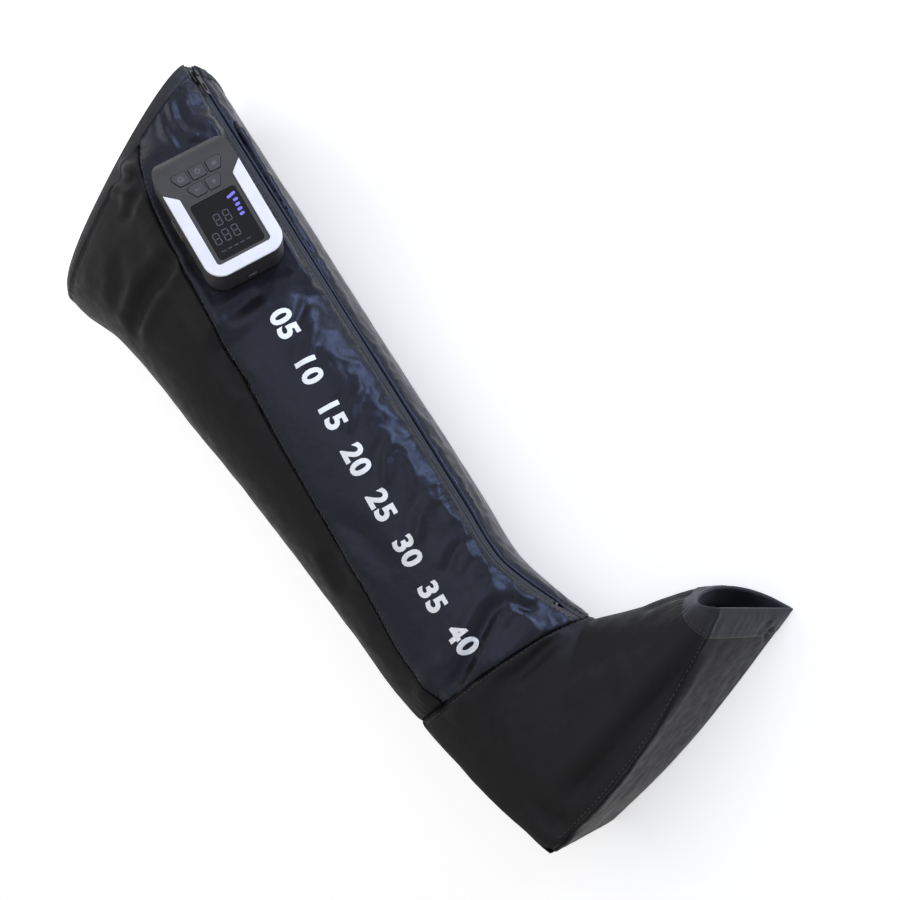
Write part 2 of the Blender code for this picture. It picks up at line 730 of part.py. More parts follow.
def tube(name, points, radius, slot):
    """A round tube through points, with filled caps."""
    curve = bpy.data.curves.new(name, "CURVE")
    curve.dimensions = "3D"
    curve.bevel_depth = radius
    curve.bevel_resolution = 1
    curve.use_fill_caps = True
    spline = curve.splines.new("POLY")
    spline.points.add(len(points) - 1)
    for target, point in zip(spline.points, points):
        target.co = (*point, 1)
    return add_object_curve(name, curve, slot)


def add_object_curve(name, curve, slot):
    obj = bpy.data.objects.new(name, curve)
    PARTS.objects.link(obj)
    obj.parent = ORIGIN
    curve.materials.append(material(slot))
    return obj


# The sewn sleeve


def leg_slice(name, first, last, slot):
    """An outer panel of the leg, between two of the angle breaks."""
    rings = []
    for place in places(RIM, SEAM - SEAM_GAP_SHARE):
        angles = leg_angles(place)[first:last + 1]
        angles[0] += SEAM_GAP_ANGLE
        angles[-1] -= SEAM_GAP_ANGLE
        rings.append([sleeve_point(place, angle) for angle in angles])
    return sheet(name, rings, FABRIC, slot)


def leg_panels():
    """The three long outer panels: the printed front, the back, and the strip inside the zip."""
    front = sum(LEG_SEGMENTS[:2])
    back = front + LEG_SEGMENTS[2]
    printed = leg_slice("print_panel", 0, front, "nylon_navy")
    cut(printed, *dock_holes("print_panel"))
    leg_slice("back_panel", front, back, "nylon_black")
    leg_slice("zip_side_panel", back, sum(LEG_SEGMENTS), "nylon_navy")


def foot_slice(name, first, last, low, high, slot):
    rings = []
    for place in places(low, high):
        angles = foot_angles()[first:last + 1]
        angles[0] += SOLE_GAP_ANGLE
        angles[-1] -= SOLE_GAP_ANGLE
        rings.append([sleeve_point(place, angle) for angle in angles])
    return sheet(name, rings, FABRIC, slot)


def foot_panels():
    """Both sides of the foot, the heel's back strip and the sole."""
    side, sole, other = FOOT_SEGMENTS
    start = SEAM + SEAM_GAP_SHARE
    foot_slice("foot_side_outer", 0, side, start, TOE, "nylon_black")
    foot_slice("foot_side_inner", side + sole, side + sole + other, start, TOE, "nylon_black")
    foot_slice("heel_panel", side, side + sole, start, HEEL - HEEL_GAP_SHARE, "nylon_black")
    foot_slice("sole_gusset", side, side + sole, HEEL + HEEL_GAP_SHARE, TOE, "nylon_black")


def linings():
    """The inner skin: open at the zip along the leg, a full tube in the foot."""
    rings = []
    for place in places(RIM, SEAM - SEAM_GAP_SHARE, INNER_STATIONS):
        rings.append([sleeve_point(place, angle, lining_depth(place)) for angle in leg_angles(place)])
    sheet("leg_lining", rings, FABRIC, "lining_fabric")
    rings = []
    for place in places(SEAM + SEAM_GAP_SHARE, TOE, INNER_STATIONS):
        rings.append([sleeve_point(place, angle, lining_depth(place)) for angle in foot_angles()[:-1]])
    sheet("foot_lining", rings, FABRIC, "lining_fabric", closed=True)


def chamber(name, low, high, angles_at, first, last):
    """An air chamber: a pillow that is full in the middle and thin at its welded edges."""
    rings, crown = [], []
    stations = places(low + CHAMBER_GAP_SHARE, high - CHAMBER_GAP_SHARE)
    for i, place in enumerate(stations):
        angles = angles_at(place)[first:last + 1]
        along = i / (len(stations) - 1)
        rings.append([sleeve_point(place, angle, CHAMBER_DEPTH) for angle in angles])
        row = []
        for j in range(len(angles)):
            around = j / (len(angles) - 1)
            bulge = min(1.0, CHAMBER_RISE_ALONG * min(along, 1 - along))
            bulge *= min(1.0, CHAMBER_RISE_AROUND * min(around, 1 - around))
            row.append(CHAMBER_EDGE_SHARE + (1 - CHAMBER_EDGE_SHARE) * bulge)
        crown.append(row)
    return sheet(name, rings, CHAMBER_THICKNESS, "air_chamber_film", crown)


CHAMBERS = (("thigh", 1.0, 2.5), ("knee", 2.5, 4.0), ("calf", 4.0, 5.5), ("ankle", 5.5, 7.3))


def chambers():
    """Four cuffs round the back of the leg, and one under and beside the foot."""
    front = sum(LEG_SEGMENTS[:2])
    end = sum(LEG_SEGMENTS) - CHAMBER_FRONT_STEPS
    for name, low, high in CHAMBERS:
        chamber(name + "_air_chamber", low, high, leg_angles, front, end)
    last = sum(FOOT_SEGMENTS) - CHAMBER_INSTEP_STEPS
    chamber("foot_air_chamber", HEEL, TOE - 1, lambda place: foot_angles(), CHAMBER_INSTEP_STEPS, last)


def binding(name, rim, inward, angles_at, lining):
    """A tape folded over the raw edge of the sleeve at the rim or the toe."""
    lip = rim - inward * BINDING_LIP_SHARE
    leg = rim + inward * BINDING_SHARE
    rows = [(lip, lining(rim) + FABRIC), (lip, -FIT), (rim, -FIT), (leg, -FIT)]
    rings = [[sleeve_point(place, angle, depth) for angle in angles_at(place)] for place, depth in rows]
    if inward < 0:
        rings.reverse()
    obj = sheet(name, rings, BINDING, "nylon_black", closed=rim == TOE)
    obj.modifiers["thickness"].offset = 1


def bindings():
    binding("top_binding", RIM, 1, leg_angles, lining_depth)
    binding("toe_binding", TOE, -1, lambda place: foot_angles()[:-1], lining_depth)


# The zip


def zip_band(name, offsets, depth, thickness, side, slot):
    """A strip along the zip, through offsets from its centre line."""
    rings = []
    for place in places(RIM, ZIP_END, ZIP_STATIONS):
        ring = [sleeve_point(place, ridge_angle(place, side * offset), depth) for offset in offsets]
        rings.append(ring if side > 0 else ring[::-1])
    return sheet(name, rings, thickness, slot)


def zip_strips():
    """Both halves of the zip: a tape under the fabric's edge and a coil along the middle."""
    top = FABRIC + FIT
    inner = COIL_GAP / 2
    outer = inner + COIL_WIDTH
    for side, word in ((1, "outer"), (-1, "inner")):
        zip_band("zip_tape_" + word, (outer + FIT, ZIP_WINDOW, TAPE_HALF_WIDTH), top, TAPE_THICKNESS,
                 side, "zip_fabric")
        zip_band("zip_coil_" + word, (inner, outer), top - COIL_HEIGHT / 2, COIL_HEIGHT, side, "zip_coil")


def zip_frame(place_y):
    """Frame on the zip's straight line at a height y: x across it, y up the leg, z outwards."""
    x, z = front_line(place_y)
    top_x, top_z = front_line(LEG_LENGTH)
    up = (Vector((top_x, LEG_LENGTH, top_z)) - Vector((CALF_FRONT_X, CALF_FRONT_Y, CALF_ZIP_Z))).normalized()
    out = Vector((1, 0, 0))
    out = (out - up * out.dot(up)).normalized()
    matrix = Matrix((up.cross(out), up, out)).transposed().to_4x4()
    matrix.translation = (x, place_y, z)
    return matrix


def slider_and_pull():
    """The slider, whose plates run over and under the coils, and the pull on its bail."""
    frame = make_empty("slider_frame", ORIGIN, zip_frame(LEG_LENGTH - SLIDER_PARK))
    coil_mid = -(FABRIC + FIT)
    upper = coil_mid + COIL_HEIGHT / 2 + FIT
    lower = coil_mid - COIL_HEIGHT / 2 - FIT
    body = block("zip_slider", (SLIDER_WIDTH, SLIDER_LENGTH, SLIDER_PLATE),
                 (0, 0, upper + SLIDER_PLATE / 2), "slider_metal", frame, SLIDER_PLATE / 4)
    under = block("slider_lower_plate", (SLIDER_WIDTH, SLIDER_LENGTH, SLIDER_PLATE),
                  (0, 0, lower - SLIDER_PLATE / 2), None, frame)
    post = block("slider_post", (SLIDER_POST, SLIDER_LENGTH / 3, upper - lower + SLIDER_PLATE),
                 (0, SLIDER_LENGTH / 3, (upper + lower) / 2), None, frame)
    bail_y = SLIDER_LENGTH / 6
    top = upper + SLIDER_PLATE
    bail = block("slider_bail", (BAIL_WIDTH, BAIL_LENGTH, BAIL_HEIGHT + SLIDER_PLATE / 2),
                 (0, bail_y, top + BAIL_HEIGHT / 2 - SLIDER_PLATE / 4), None, frame)
    pin_z = top + BAIL_HEIGHT / 2
    hollow = rod("slider_bail_hollow", BAIL_HEIGHT / 3, (-BAIL_WIDTH, bail_y, pin_z),
                 (BAIL_WIDTH, bail_y, pin_z), None, frame, sides=12)
    join(body, under, post, bail)
    cut(body, hollow)
    pivot = make_empty("pull_pivot", frame, Matrix.Translation((0, bail_y, pin_z)))
    half = PULL_WIDTH / 2
    ear = (BAIL_WIDTH / 2 + FIT, half)
    pull = rod("zip_pull", PULL_THICKNESS / 2, (-ear[1], 0, 0), (ear[1], 0, 0), "slider_metal", pivot, sides=8)
    arms = []
    for sign in (-1, 1):
        arms.append(block("pull_arm", (ear[1] - ear[0], BAIL_LENGTH, PULL_THICKNESS),
                          (sign * (ear[0] + ear[1]) / 2, -BAIL_LENGTH / 2, 0), None, pivot))
    tab_start = BAIL_LENGTH - PULL_THICKNESS
    tab = prism("pull_tab", rectangle(PULL_WIDTH, PULL_LENGTH - tab_start, half / 2,
                                      y=-(PULL_LENGTH + tab_start) / 2),
                -PULL_THICKNESS / 2, PULL_THICKNESS / 2, None, pivot)
    hole = prism("pull_hole", rectangle(half, PULL_LENGTH / 3, half / 3, y=-PULL_LENGTH * 2 / 3),
                 -OVERRUN, OVERRUN, None, pivot)
    join(pull, *arms, tab)
    cut(pull, hole)


def zip_stop():
    """A stop across both coils, just past their ankle end."""
    width = COIL_GAP + 2 * COIL_WIDTH
    block("zip_bottom_stop", (width, STOP_LENGTH, COIL_HEIGHT), (0, 0, 0), "slider_metal", zip_end_frame(), FIT)


def zip_end_frame():
    """Frame of the stop: y up the zip, z outwards."""
    place = ZIP_END
    here = sleeve_point(place, 0, FABRIC + FIT)
    before = sleeve_point(place - 2 * SLOPE_STEP, 0, FABRIC + FIT)
    up = (before - here).normalized()
    side = Vector((0, 0, -1))
    out = side.cross(up).normalized()
    matrix = Matrix((side, up, out)).transposed().to_4x4()
    matrix.translation = here - up * (STOP_LENGTH / 2 + 5 * FIT)
    return make_empty("zip_end_frame", ORIGIN, matrix)


# The dock and the hoses


def port_offsets():
    middle = (PORT_COUNT - 1) / 2
    return [(i - middle) * PORT_PITCH for i in range(PORT_COUNT)]


def port_outline(clearance=0.0):
    width = PORT_PITCH * (PORT_COUNT - 1) + 2 * NOZZLE_RADIUS + 2 * clearance
    length = 2 * NOZZLE_RADIUS + 2 * clearance
    return rectangle(width, length, length / 2 - FIT, y=PORT_Y)


def dock_holes(owner):
    """Cutters through the fabric under the dock: a slot for the air ports and a hole for each stake."""
    high = OVERRUN
    cutters = [prism(owner + "_port_slot", port_outline(3 * FIT), -high, high, None, DOCK_FRAME)]
    for i, (x, y) in enumerate(stake_places()):
        cutters.append(rod(f"{owner}_stake_hole_{i}", STAKE_RADIUS + FIT, (x, y, -high), (x, y, high),
                           None, DOCK_FRAME, sides=12))
    return cutters


def stake_places():
    return [(x, y) for x in (-STAKE_X, STAKE_X) for y in (-STAKE_Y, STAKE_Y)]


def dock():
    """The plate outside the fabric, the backing inside it, the port gasket and the hose block."""
    outline = rectangle(CASE_WIDTH - 2 * DOCK_INSET, CASE_LENGTH - 2 * DOCK_INSET, CASE_RADIUS - DOCK_INSET)
    plate = prism("dock_plate", outline, FIT, DOCK_TOP, "case_black", DOCK_FRAME)
    width = PORT_PITCH * PORT_COUNT
    seat = prism("gasket_seat", rectangle(width + 2 * FIT, GASKET_LENGTH + 2 * FIT, GASKET_LENGTH / 4, y=PORT_Y),
                 DOCK_TOP - GASKET_THICKNESS - FIT, DOCK_TOP + OVERRUN, None, DOCK_FRAME)
    under = prism("port_neck_room", port_outline(FIT), -OVERRUN, DOCK_TOP - GASKET_THICKNESS, None, DOCK_FRAME)
    cut(plate, seat, under)
    stake_top = FIT + DOCK_THICKNESS / 2
    for i, (x, y) in enumerate(stake_places()):
        cut(plate, rod(f"dock_stake_hole_{i}", STAKE_RADIUS + FIT, (x, y, -OVERRUN), (x, y, stake_top + FIT),
                       None, DOCK_FRAME, sides=12))
    for sign in (-1, 1):
        cut(plate, latch_slot("dock", sign, FIT, DOCK_TOP))
    gasket = prism("dock_gasket", rectangle(width, GASKET_LENGTH, GASKET_LENGTH / 4, y=PORT_Y),
                   DOCK_TOP - GASKET_THICKNESS, DOCK_TOP, "silicone", DOCK_FRAME)
    backing_top = -FABRIC - FIT
    backing_foot = backing_top - BACKING_THICKNESS
    backing = prism("dock_backing", rectangle(BACKING_WIDTH, BACKING_LENGTH, CASE_RADIUS / 2),
                    backing_foot, backing_top, "case_black", DOCK_FRAME)
    cut(backing, prism("backing_slot", port_outline(FIT), backing_foot - OVERRUN, OVERRUN, None, DOCK_FRAME))
    for i, (x, y) in enumerate(stake_places()):
        join(backing, rod(f"backing_stake_{i}", STAKE_RADIUS, (x, y, backing_foot + FIT), (x, y, stake_top),
                          None, DOCK_FRAME, sides=12))
    block_top = backing_foot - FIT
    middle = block_top - HOSE_BLOCK_HEIGHT / 2
    hose_block = block("hose_block", (width, HOSE_BLOCK_LENGTH, HOSE_BLOCK_HEIGHT), (0, PORT_Y, middle),
                       "pump_plastic", DOCK_FRAME, FIT)
    neck_top = DOCK_TOP - GASKET_THICKNESS - 2 * FIT
    join(hose_block, prism("hose_block_neck", port_outline(), middle, neck_top, None, DOCK_FRAME))
    for i, x in enumerate(port_offsets()):
        bore = rod(f"gasket_port_{i}", PORT_RADIUS, (x, PORT_Y, middle), (x, PORT_Y, DOCK_TOP + OVERRUN),
                   None, DOCK_FRAME, sides=10)
        cut(gasket, bore)
        cut(hose_block, bore)


def latch_reach():
    """Outer and inner x of a latch's arm at rest."""
    outer = CASE_WIDTH / 2 - CASE_WALL - FIT - LATCH_FLANGE / 3
    return outer, outer - LATCH_ARM_THICKNESS


def latch_slot(owner, sign, low, high):
    """Room for a latch's arm and for its travel."""
    outer, inner = latch_reach()
    outer += FIT
    inner -= LATCH_TRAVEL + FIT
    side = "right" if sign > 0 else "left"
    return block(f"{owner}_latch_slot_{side}",
                 (outer - inner, LATCH_ARM_LENGTH + 2 * FIT, high - low + 2 * OVERRUN),
                 (sign * (outer + inner) / 2, LATCH_Y, (low + high) / 2), None, DOCK_FRAME)


HOSE_NAMES = ("foot", "ankle", "calf", "knee", "thigh")
HOSE_ENDS = {"thigh": 2.3, "knee": 3.4, "calf": 4.7, "ankle": 6.3, "foot": 7.3}
# A hose's turn from its lane into its chamber: share of the way to the seam, stations before its end
HOSE_TURN = ((0.45, 0.12), (0.75, 0.03), (0.93, 0.0))


def smooth_path(points, step):
    """Points at even steps along the Catmull-Rom curve through hand-placed points."""
    padded = [points[0] * 2 - points[1], *points, points[-1] * 2 - points[-2]]
    fine = []
    for before, start, end, after in zip(padded, padded[1:], padded[2:], padded[3:]):
        for i in range(ROUND_SIDES):
            t = i / ROUND_SIDES
            fine.append((start * 2 + (end - before) * t + (before * 2 - start * 5 + end * 4 - after) * t**2
                         + (start * 3 - before - end * 3 + after) * t**3) / 2)
    fine.append(points[-1])
    length = sum((b - a).length for a, b in zip(fine, fine[1:]))
    count = max(round(length / step), 2)
    path, walked, wanted = [fine[0]], 0.0, 1
    for a, b in zip(fine, fine[1:]):
        walked += (b - a).length
        if walked >= wanted * length / count and wanted < count:
            path.append(b)
            wanted += 1
    return path + [fine[-1]]


def hose_route(number, name):
    """Its end at the dock's port, then points down its lane beside the zip to its chamber's front edge."""
    x = -port_offsets()[number]
    start = Vector((x, PORT_Y - HOSE_BLOCK_LENGTH / 2 - FIT, -HOSE_DEPTH))
    points = [DOCK @ (start - Vector((0, ahead * HOSE_RADIUS, 0))) for ahead in HOSE_LEADS]
    zip_distance = abs((DOCK_INVERSE @ plain_point(DOCK_STATION, 0)).x)
    angle = DOCK_ANGLE * (1 - x / zip_distance)
    end = HOSE_ENDS[name]
    if end > DOCK_STATION + LANE_REACH:
        lane = DOCK_ANGLE * (LANE_SHARE + LANE_STEP_SHARE * number)
        points.append(sleeve_point(DOCK_STATION + LANE_MERGE, (angle + lane) / 2, HOSE_DEPTH))
        place = DOCK_STATION + LANE_START
        while place < end - LANE_END:
            points.append(sleeve_point(place, lane, HOSE_DEPTH))
            place += LANE_PACE
        angle = lane
    seam = seam_angle(end)
    for share, ahead in HOSE_TURN:
        points.append(sleeve_point(end - ahead, angle + (seam - angle) * share, HOSE_DEPTH))
    return DOCK @ start, points


def hoses():
    """Air hoses from the dock to the chambers, in the room between the outer fabric and the lining."""
    for number, name in enumerate(HOSE_NAMES):
        start, points = hose_route(number, name)
        tube(name + "_hose", [start, *smooth_path(points, HOSE_STEP)], HOSE_RADIUS, "hose_vinyl")


# The controller


CONTROLLER = make_empty("controller_frame", DOCK_FRAME, Matrix.Identity(4))
# Turns a prism drawn in (y, z) so that its thickness runs across the case
LENGTHWISE = Matrix(((0, 0, 1, 0), (1, 0, 0, 0), (0, 1, 0, 0), (0, 0, 0, 1)))


def boss_places():
    return [(x, y) for x in (-BOSS_X, BOSS_X) for y in (-BOSS_Y, BOSS_Y)]


def case_outline(inset=0.0):
    return rectangle(CASE_WIDTH - 2 * inset, CASE_LENGTH - 2 * inset, CASE_RADIUS - inset)


def roll_profile(inset, low, high):
    """Side view of the upper case: square at the foot end and rolled over at the hip end."""
    end = CASE_LENGTH / 2 - inset
    roll = ROLL_RADIUS - inset
    corners = [(-end - OVERRUN, low), (end, low), (end, high), (-end - OVERRUN, high)]
    return rounded(corners, [0, 0, roll, 0])


def rear_shell():
    """The tray against the dock: screw posts, latch windows, nozzle holes and the charging socket's window."""
    shell = prism("rear_shell", case_outline(), BASE, SPLIT, "case_black", CONTROLLER)
    cut(shell, prism("rear_cavity", case_outline(CASE_WALL), FLOOR, SPLIT + OVERRUN, None, CONTROLLER))
    for i, (x, y) in enumerate(boss_places()):
        join(shell, rod(f"rear_post_{i}", BOSS_RADIUS + FIT, (x, y, FLOOR - CASE_WALL / 2),
                        (x, y, FLOOR + POST_HEIGHT), None, CONTROLLER))
    for i, (x, y) in enumerate(boss_places()):
        cut(shell, rod(f"screw_head_room_{i}", SCREW_HEAD_RADIUS + FIT, (x, y, BASE - OVERRUN),
                       (x, y, BASE + SCREW_SEAT), None, CONTROLLER, sides=12),
            rod(f"screw_room_{i}", SCREW_RADIUS + FIT, (x, y, BASE), (x, y, SPLIT), None, CONTROLLER, sides=10))
    for sign in (-1, 1):
        cut(shell, latch_button(f"latch_window_{sign}", sign, FIT, None, CONTROLLER),
            latch_slot("rear", sign, BASE, FLOOR))
    for i, x in enumerate(port_offsets()):
        cut(shell, rod(f"nozzle_hole_{i}", NOZZLE_RADIUS + FIT, (x, PORT_Y, BASE - OVERRUN),
                       (x, PORT_Y, FLOOR + OVERRUN / 2), None, CONTROLLER, sides=12))
    cut(shell, block("socket_window", (SOCKET_WIDTH + 2 * FIT, 2 * OVERRUN, SOCKET_HEIGHT + 2 * FIT),
                     (0, -CASE_LENGTH / 2, BASE + SOCKET_Z), None, CONTROLLER))


def front_shell():
    """The upper case: a recessed face with a window and five key holes, rolled over at the hip end."""
    low = SPLIT + FIT
    shell = prism("front_shell", case_outline(), low, FACE, "case_black", CONTROLLER)
    roll = prism("front_roll", roll_profile(0, low - OVERRUN, FACE), -CASE_WIDTH, CASE_WIDTH, None,
                 CONTROLLER, turn=LENGTHWISE)
    boolean(shell, roll, "INTERSECT")
    cavity = prism("front_cavity", case_outline(CASE_WALL), low - OVERRUN, CEILING, None, CONTROLLER)
    inner = prism("front_cavity_roll", roll_profile(FACE_WALL, low - 2 * OVERRUN, CEILING), -CASE_WIDTH,
                  CASE_WIDTH, None, CONTROLLER, turn=LENGTHWISE)
    boolean(cavity, inner, "INTERSECT")
    cut(shell, cavity)
    for i, (x, y) in enumerate(boss_places()):
        join(shell, rod(f"front_boss_{i}", BOSS_RADIUS, (x, y, FLOOR + POST_HEIGHT + FIT),
                        (x, y, CEILING - (FACE_WALL if y > 0 else 0) + FACE_WALL / 2), None, CONTROLLER))
    for i, (x, y) in enumerate(boss_places()):
        cut(shell, rod(f"front_screw_room_{i}", SCREW_RADIUS + FIT, (x, y, FLOOR),
                       (x, y, BASE + SCREW_SEAT + SCREW_LENGTH + FIT), None, CONTROLLER, sides=10))
    lens_floor = FACE - LENS_RECESS - LENS_THICKNESS - FIT
    cut(shell, trim_shape("trim_seat", FACE - TRIM_SEAT, FACE + OVERRUN, FIT, None),
        prism("lens_seat", rectangle(LENS_WIDTH + 2 * FIT, LENS_LENGTH + 2 * FIT, LENS_RADIUS + FIT, y=LENS_Y),
              lens_floor, FACE + OVERRUN, None, CONTROLLER),
        prism("lens_opening", rectangle(LENS_WIDTH - 2 * LENS_LEDGE, LENS_LENGTH - 2 * LENS_LEDGE,
                                        LENS_RADIUS / 2, y=LENS_Y),
              CEILING - OVERRUN, FACE, None, CONTROLLER))
    for name, outline in key_outlines(KEY_CLEARANCE).items():
        cut(shell, prism(name + "_hole", outline, CEILING - OVERRUN, FACE + OVERRUN, None, CONTROLLER))


def trim_shape(name, low, high, clearance, slot, bevel=0.0):
    """The U-shaped frame round the display, open towards the keys, with slanted arm ends."""
    half, end = CASE_WIDTH / 2, CASE_LENGTH / 2
    inner = half - TRIM_ARM - clearance
    floor_y = -end + TRIM_ARM + clearance
    spill = OVERRUN if slot is None else 0.0
    slope = (TRIM_ARM_OUTER_Y - TRIM_ARM_INNER_Y) / TRIM_ARM
    outer_y = TRIM_ARM_OUTER_Y + 2 * clearance + slope * spill
    inner_y = TRIM_ARM_INNER_Y + clearance
    corners = [(-half - spill, -end - spill), (half + spill, -end - spill), (half + spill, outer_y),
               (inner, inner_y), (inner, floor_y), (-inner, floor_y), (-inner, inner_y), (-half - spill, outer_y)]
    outer = CASE_RADIUS if slot else 0
    radii = [outer, outer, 0, TRIM_CORNER, TRIM_CORNER, TRIM_CORNER, TRIM_CORNER, 0]
    return prism(name, rounded(corners, radii), low, high, slot, CONTROLLER, bevel)


def key_outlines(grow=0.0):
    """Outlines of the five keys: two beside each other, then three, the outer ones slanted outside."""
    half, long = KEY_WIDTH / 2 + grow, KEY_LENGTH / 2 + grow
    radius = KEY_RADIUS + grow

    def square(x, y):
        return rectangle(2 * half, 2 * long, radius, x, y)

    def slanted(x, y, side):
        corners = [(-half, -long), (half - KEY_SLANT, -long), (half + KEY_SLANT / 4, long / 2),
                   (half - KEY_SLANT / 4, long), (-half, long)]
        placed = [(x + side * a, y + b) for a, b in corners]
        return rounded(placed if side > 0 else placed[::-1], radius)

    near, far = KEY_ROW_Y, KEY_ROW_Y + KEY_PITCH_Y
    step = KEY_PITCH_X
    return {"minus_key": slanted(-step / 2, near, -1), "plus_key": slanted(step / 2, near, 1),
            "timer_key": slanted(-step, far, -1), "power_key": square(0, far),
            "mode_key": slanted(step, far, 1)}


def keys():
    """Key caps, each with a flange that stops it under the face, and the membrane below them."""
    flanges = key_outlines(KEY_CLEARANCE + KEY_LIP)
    for name, outline in key_outlines().items():
        frame = make_empty(name + "_frame", CONTROLLER, Matrix.Identity(4))
        cap = prism(name, outline, KEY_FOOT + KEY_FLANGE / 2, FACE + KEY_PROUD, "key_black", frame, KEY_CLEARANCE / 2)
        join(cap, prism(name + "_flange", flanges[name], KEY_FOOT, KEY_FOOT + KEY_FLANGE, None, frame))
    middle = KEY_ROW_Y + KEY_PITCH_Y / 2
    radius = 2 * KEY_RADIUS
    membrane = prism("key_membrane", rectangle(MEMBRANE_WIDTH, MEMBRANE_LENGTH, radius, y=middle),
                     MEMBRANE_TOP - MEMBRANE_THICKNESS, CEILING - FIT, "silicone", CONTROLLER)
    cut(membrane, prism("membrane_room", rectangle(MEMBRANE_WIDTH - 2 * MEMBRANE_RIM,
                                                   MEMBRANE_LENGTH - 2 * MEMBRANE_RIM, radius - MEMBRANE_RIM,
                                                   y=middle),
                        MEMBRANE_TOP, CEILING + OVERRUN, None, CONTROLLER))


def latch_button(name, sign, clearance, slot, parent):
    """The oval button of a release latch, through the case's side wall."""
    length, height = LATCH_LENGTH + 2 * clearance, LATCH_HEIGHT + 2 * clearance
    inner = CASE_WIDTH / 2 - CASE_WALL - FIT - LATCH_FLANGE / 2 - (OVERRUN / 2 if slot is None else 0)
    outer = CASE_WIDTH / 2 + LATCH_PROUD
    low, high = (inner, outer) if sign > 0 else (-outer, -inner)
    outline = rectangle(length, height, height / 2 - FIT, LATCH_Y, BASE + LATCH_Z)
    bevel = LATCH_PROUD / 3 if slot else 0.0
    return prism(name, outline, low, high, slot, parent, bevel, LENGTHWISE)


def latches():
    """Two sprung release latches: an oval button outside, a flange inside and an arm into the dock."""
    for sign, side in ((1, "right"), (-1, "left")):
        frame = make_empty(side + "_latch_frame", CONTROLLER, Matrix.Identity(4))
        latch = latch_button(side + "_latch", sign, 0.0, "case_black", frame)
        outer_x = CASE_WIDTH / 2 - CASE_WALL - FIT
        flange = block(side + "_latch_flange",
                       (LATCH_FLANGE, LATCH_LENGTH + 2 * LATCH_LIP, LATCH_HEIGHT + 2 * LATCH_LIP),
                       (sign * (outer_x - LATCH_FLANGE / 2), LATCH_Y, BASE + LATCH_Z), None, frame)
        outer, inner = latch_reach()
        foot = FIT + DOCK_THICKNESS / 2
        top = BASE + LATCH_Z
        arm = block(side + "_latch_arm", (outer - inner, LATCH_ARM_LENGTH, top - foot),
                    (sign * (outer + inner) / 2, LATCH_Y, (top + foot) / 2), None, frame)
        join(latch, flange, arm)


def display():
    """The window glass, the display module under it, and the board that carries both and the membrane."""
    top = FACE - LENS_RECESS
    prism("display_lens", rectangle(LENS_WIDTH, LENS_LENGTH, LENS_RADIUS, y=LENS_Y),
          top - LENS_THICKNESS, top, "lens_black", CONTROLLER, LENS_RECESS / 2)
    block("display_module", (LENS_WIDTH, LENS_LENGTH, CEILING - BOARD_TOP - 2 * FIT),
          (0, LENS_Y, (CEILING + BOARD_TOP) / 2), "case_black", CONTROLLER, FIT)
    block("main_board", (BOARD_WIDTH, BOARD_LENGTH, BOARD_THICKNESS),
          (0, 0, BOARD_TOP - BOARD_THICKNESS / 2), "circuit_board", CONTROLLER)


def cells():
    """Two cylindrical cells side by side on the floor."""
    z = FLOOR + FIT + CELL_RADIUS
    for x, side in zip(CELL_X, ("inner", "outer")):
        rod(side + "_cell", CELL_RADIUS, (x, CELL_Y - CELL_LENGTH / 2, z), (x, CELL_Y + CELL_LENGTH / 2, z),
            "cell_wrap", CONTROLLER)


def pump():
    """The motor, its crank and the pump head that the crank pin drives, with a tube to the valves."""
    z = FLOOR + FIT + MOTOR_RADIUS
    x = PUMP_X
    front = MOTOR_Y + MOTOR_LENGTH / 2
    motor = rod("pump_motor", MOTOR_RADIUS, (x, MOTOR_Y - MOTOR_LENGTH / 2, z), (x, front, z),
                "bright_metal", CONTROLLER)
    buried = SHAFT_LENGTH - SHAFT_SHOWING
    cut(motor, rod("motor_bore", SHAFT_RADIUS + FIT, (x, front - buried - FIT, z), (x, front + OVERRUN, z),
                   None, CONTROLLER, sides=10))
    crank_frame = make_empty("crank_frame", CONTROLLER, Matrix.Translation((x, front, z)))
    disc_end = SHAFT_SHOWING + CRANK_THICKNESS
    crank = rod("pump_crank", CRANK_RADIUS, (0, SHAFT_SHOWING, 0), (0, disc_end, 0), "bright_metal", crank_frame)
    join(crank, rod("crank_shaft", SHAFT_RADIUS, (0, -buried, 0), (0, SHAFT_SHOWING + CRANK_THICKNESS / 2, 0),
                    None, crank_frame, sides=10),
         rod("crank_pin", CRANK_PIN_RADIUS, (0, SHAFT_SHOWING + CRANK_THICKNESS / 2, CRANK_THROW),
             (0, disc_end + CRANK_PIN_LENGTH, CRANK_THROW), None, crank_frame, sides=10))
    head = block("pump_head", (PUMP_WIDTH, PUMP_LENGTH, PUMP_HEIGHT),
                 (x, PUMP_START_Y + PUMP_LENGTH / 2, FLOOR + FIT + PUMP_HEIGHT / 2), "pump_plastic", CONTROLLER,
                 FACE_WALL / 2)
    room = CRANK_THROW + CRANK_PIN_RADIUS + FIT
    cut(head, rod("crank_pin_room", room, (x, PUMP_START_Y - OVERRUN, z),
                  (x, front + disc_end + CRANK_PIN_LENGTH + FIT, z), None, CONTROLLER))
    tube_z = FLOOR + FIT + VALVE_BLOCK_HEIGHT / 2
    rod("pump_tube", PORT_RADIUS, (x, PUMP_START_Y + PUMP_LENGTH + FIT, tube_z),
        (x, PORT_Y - VALVE_BLOCK_LENGTH / 2 - FIT, tube_z), "hose_vinyl", CONTROLLER, sides=10)


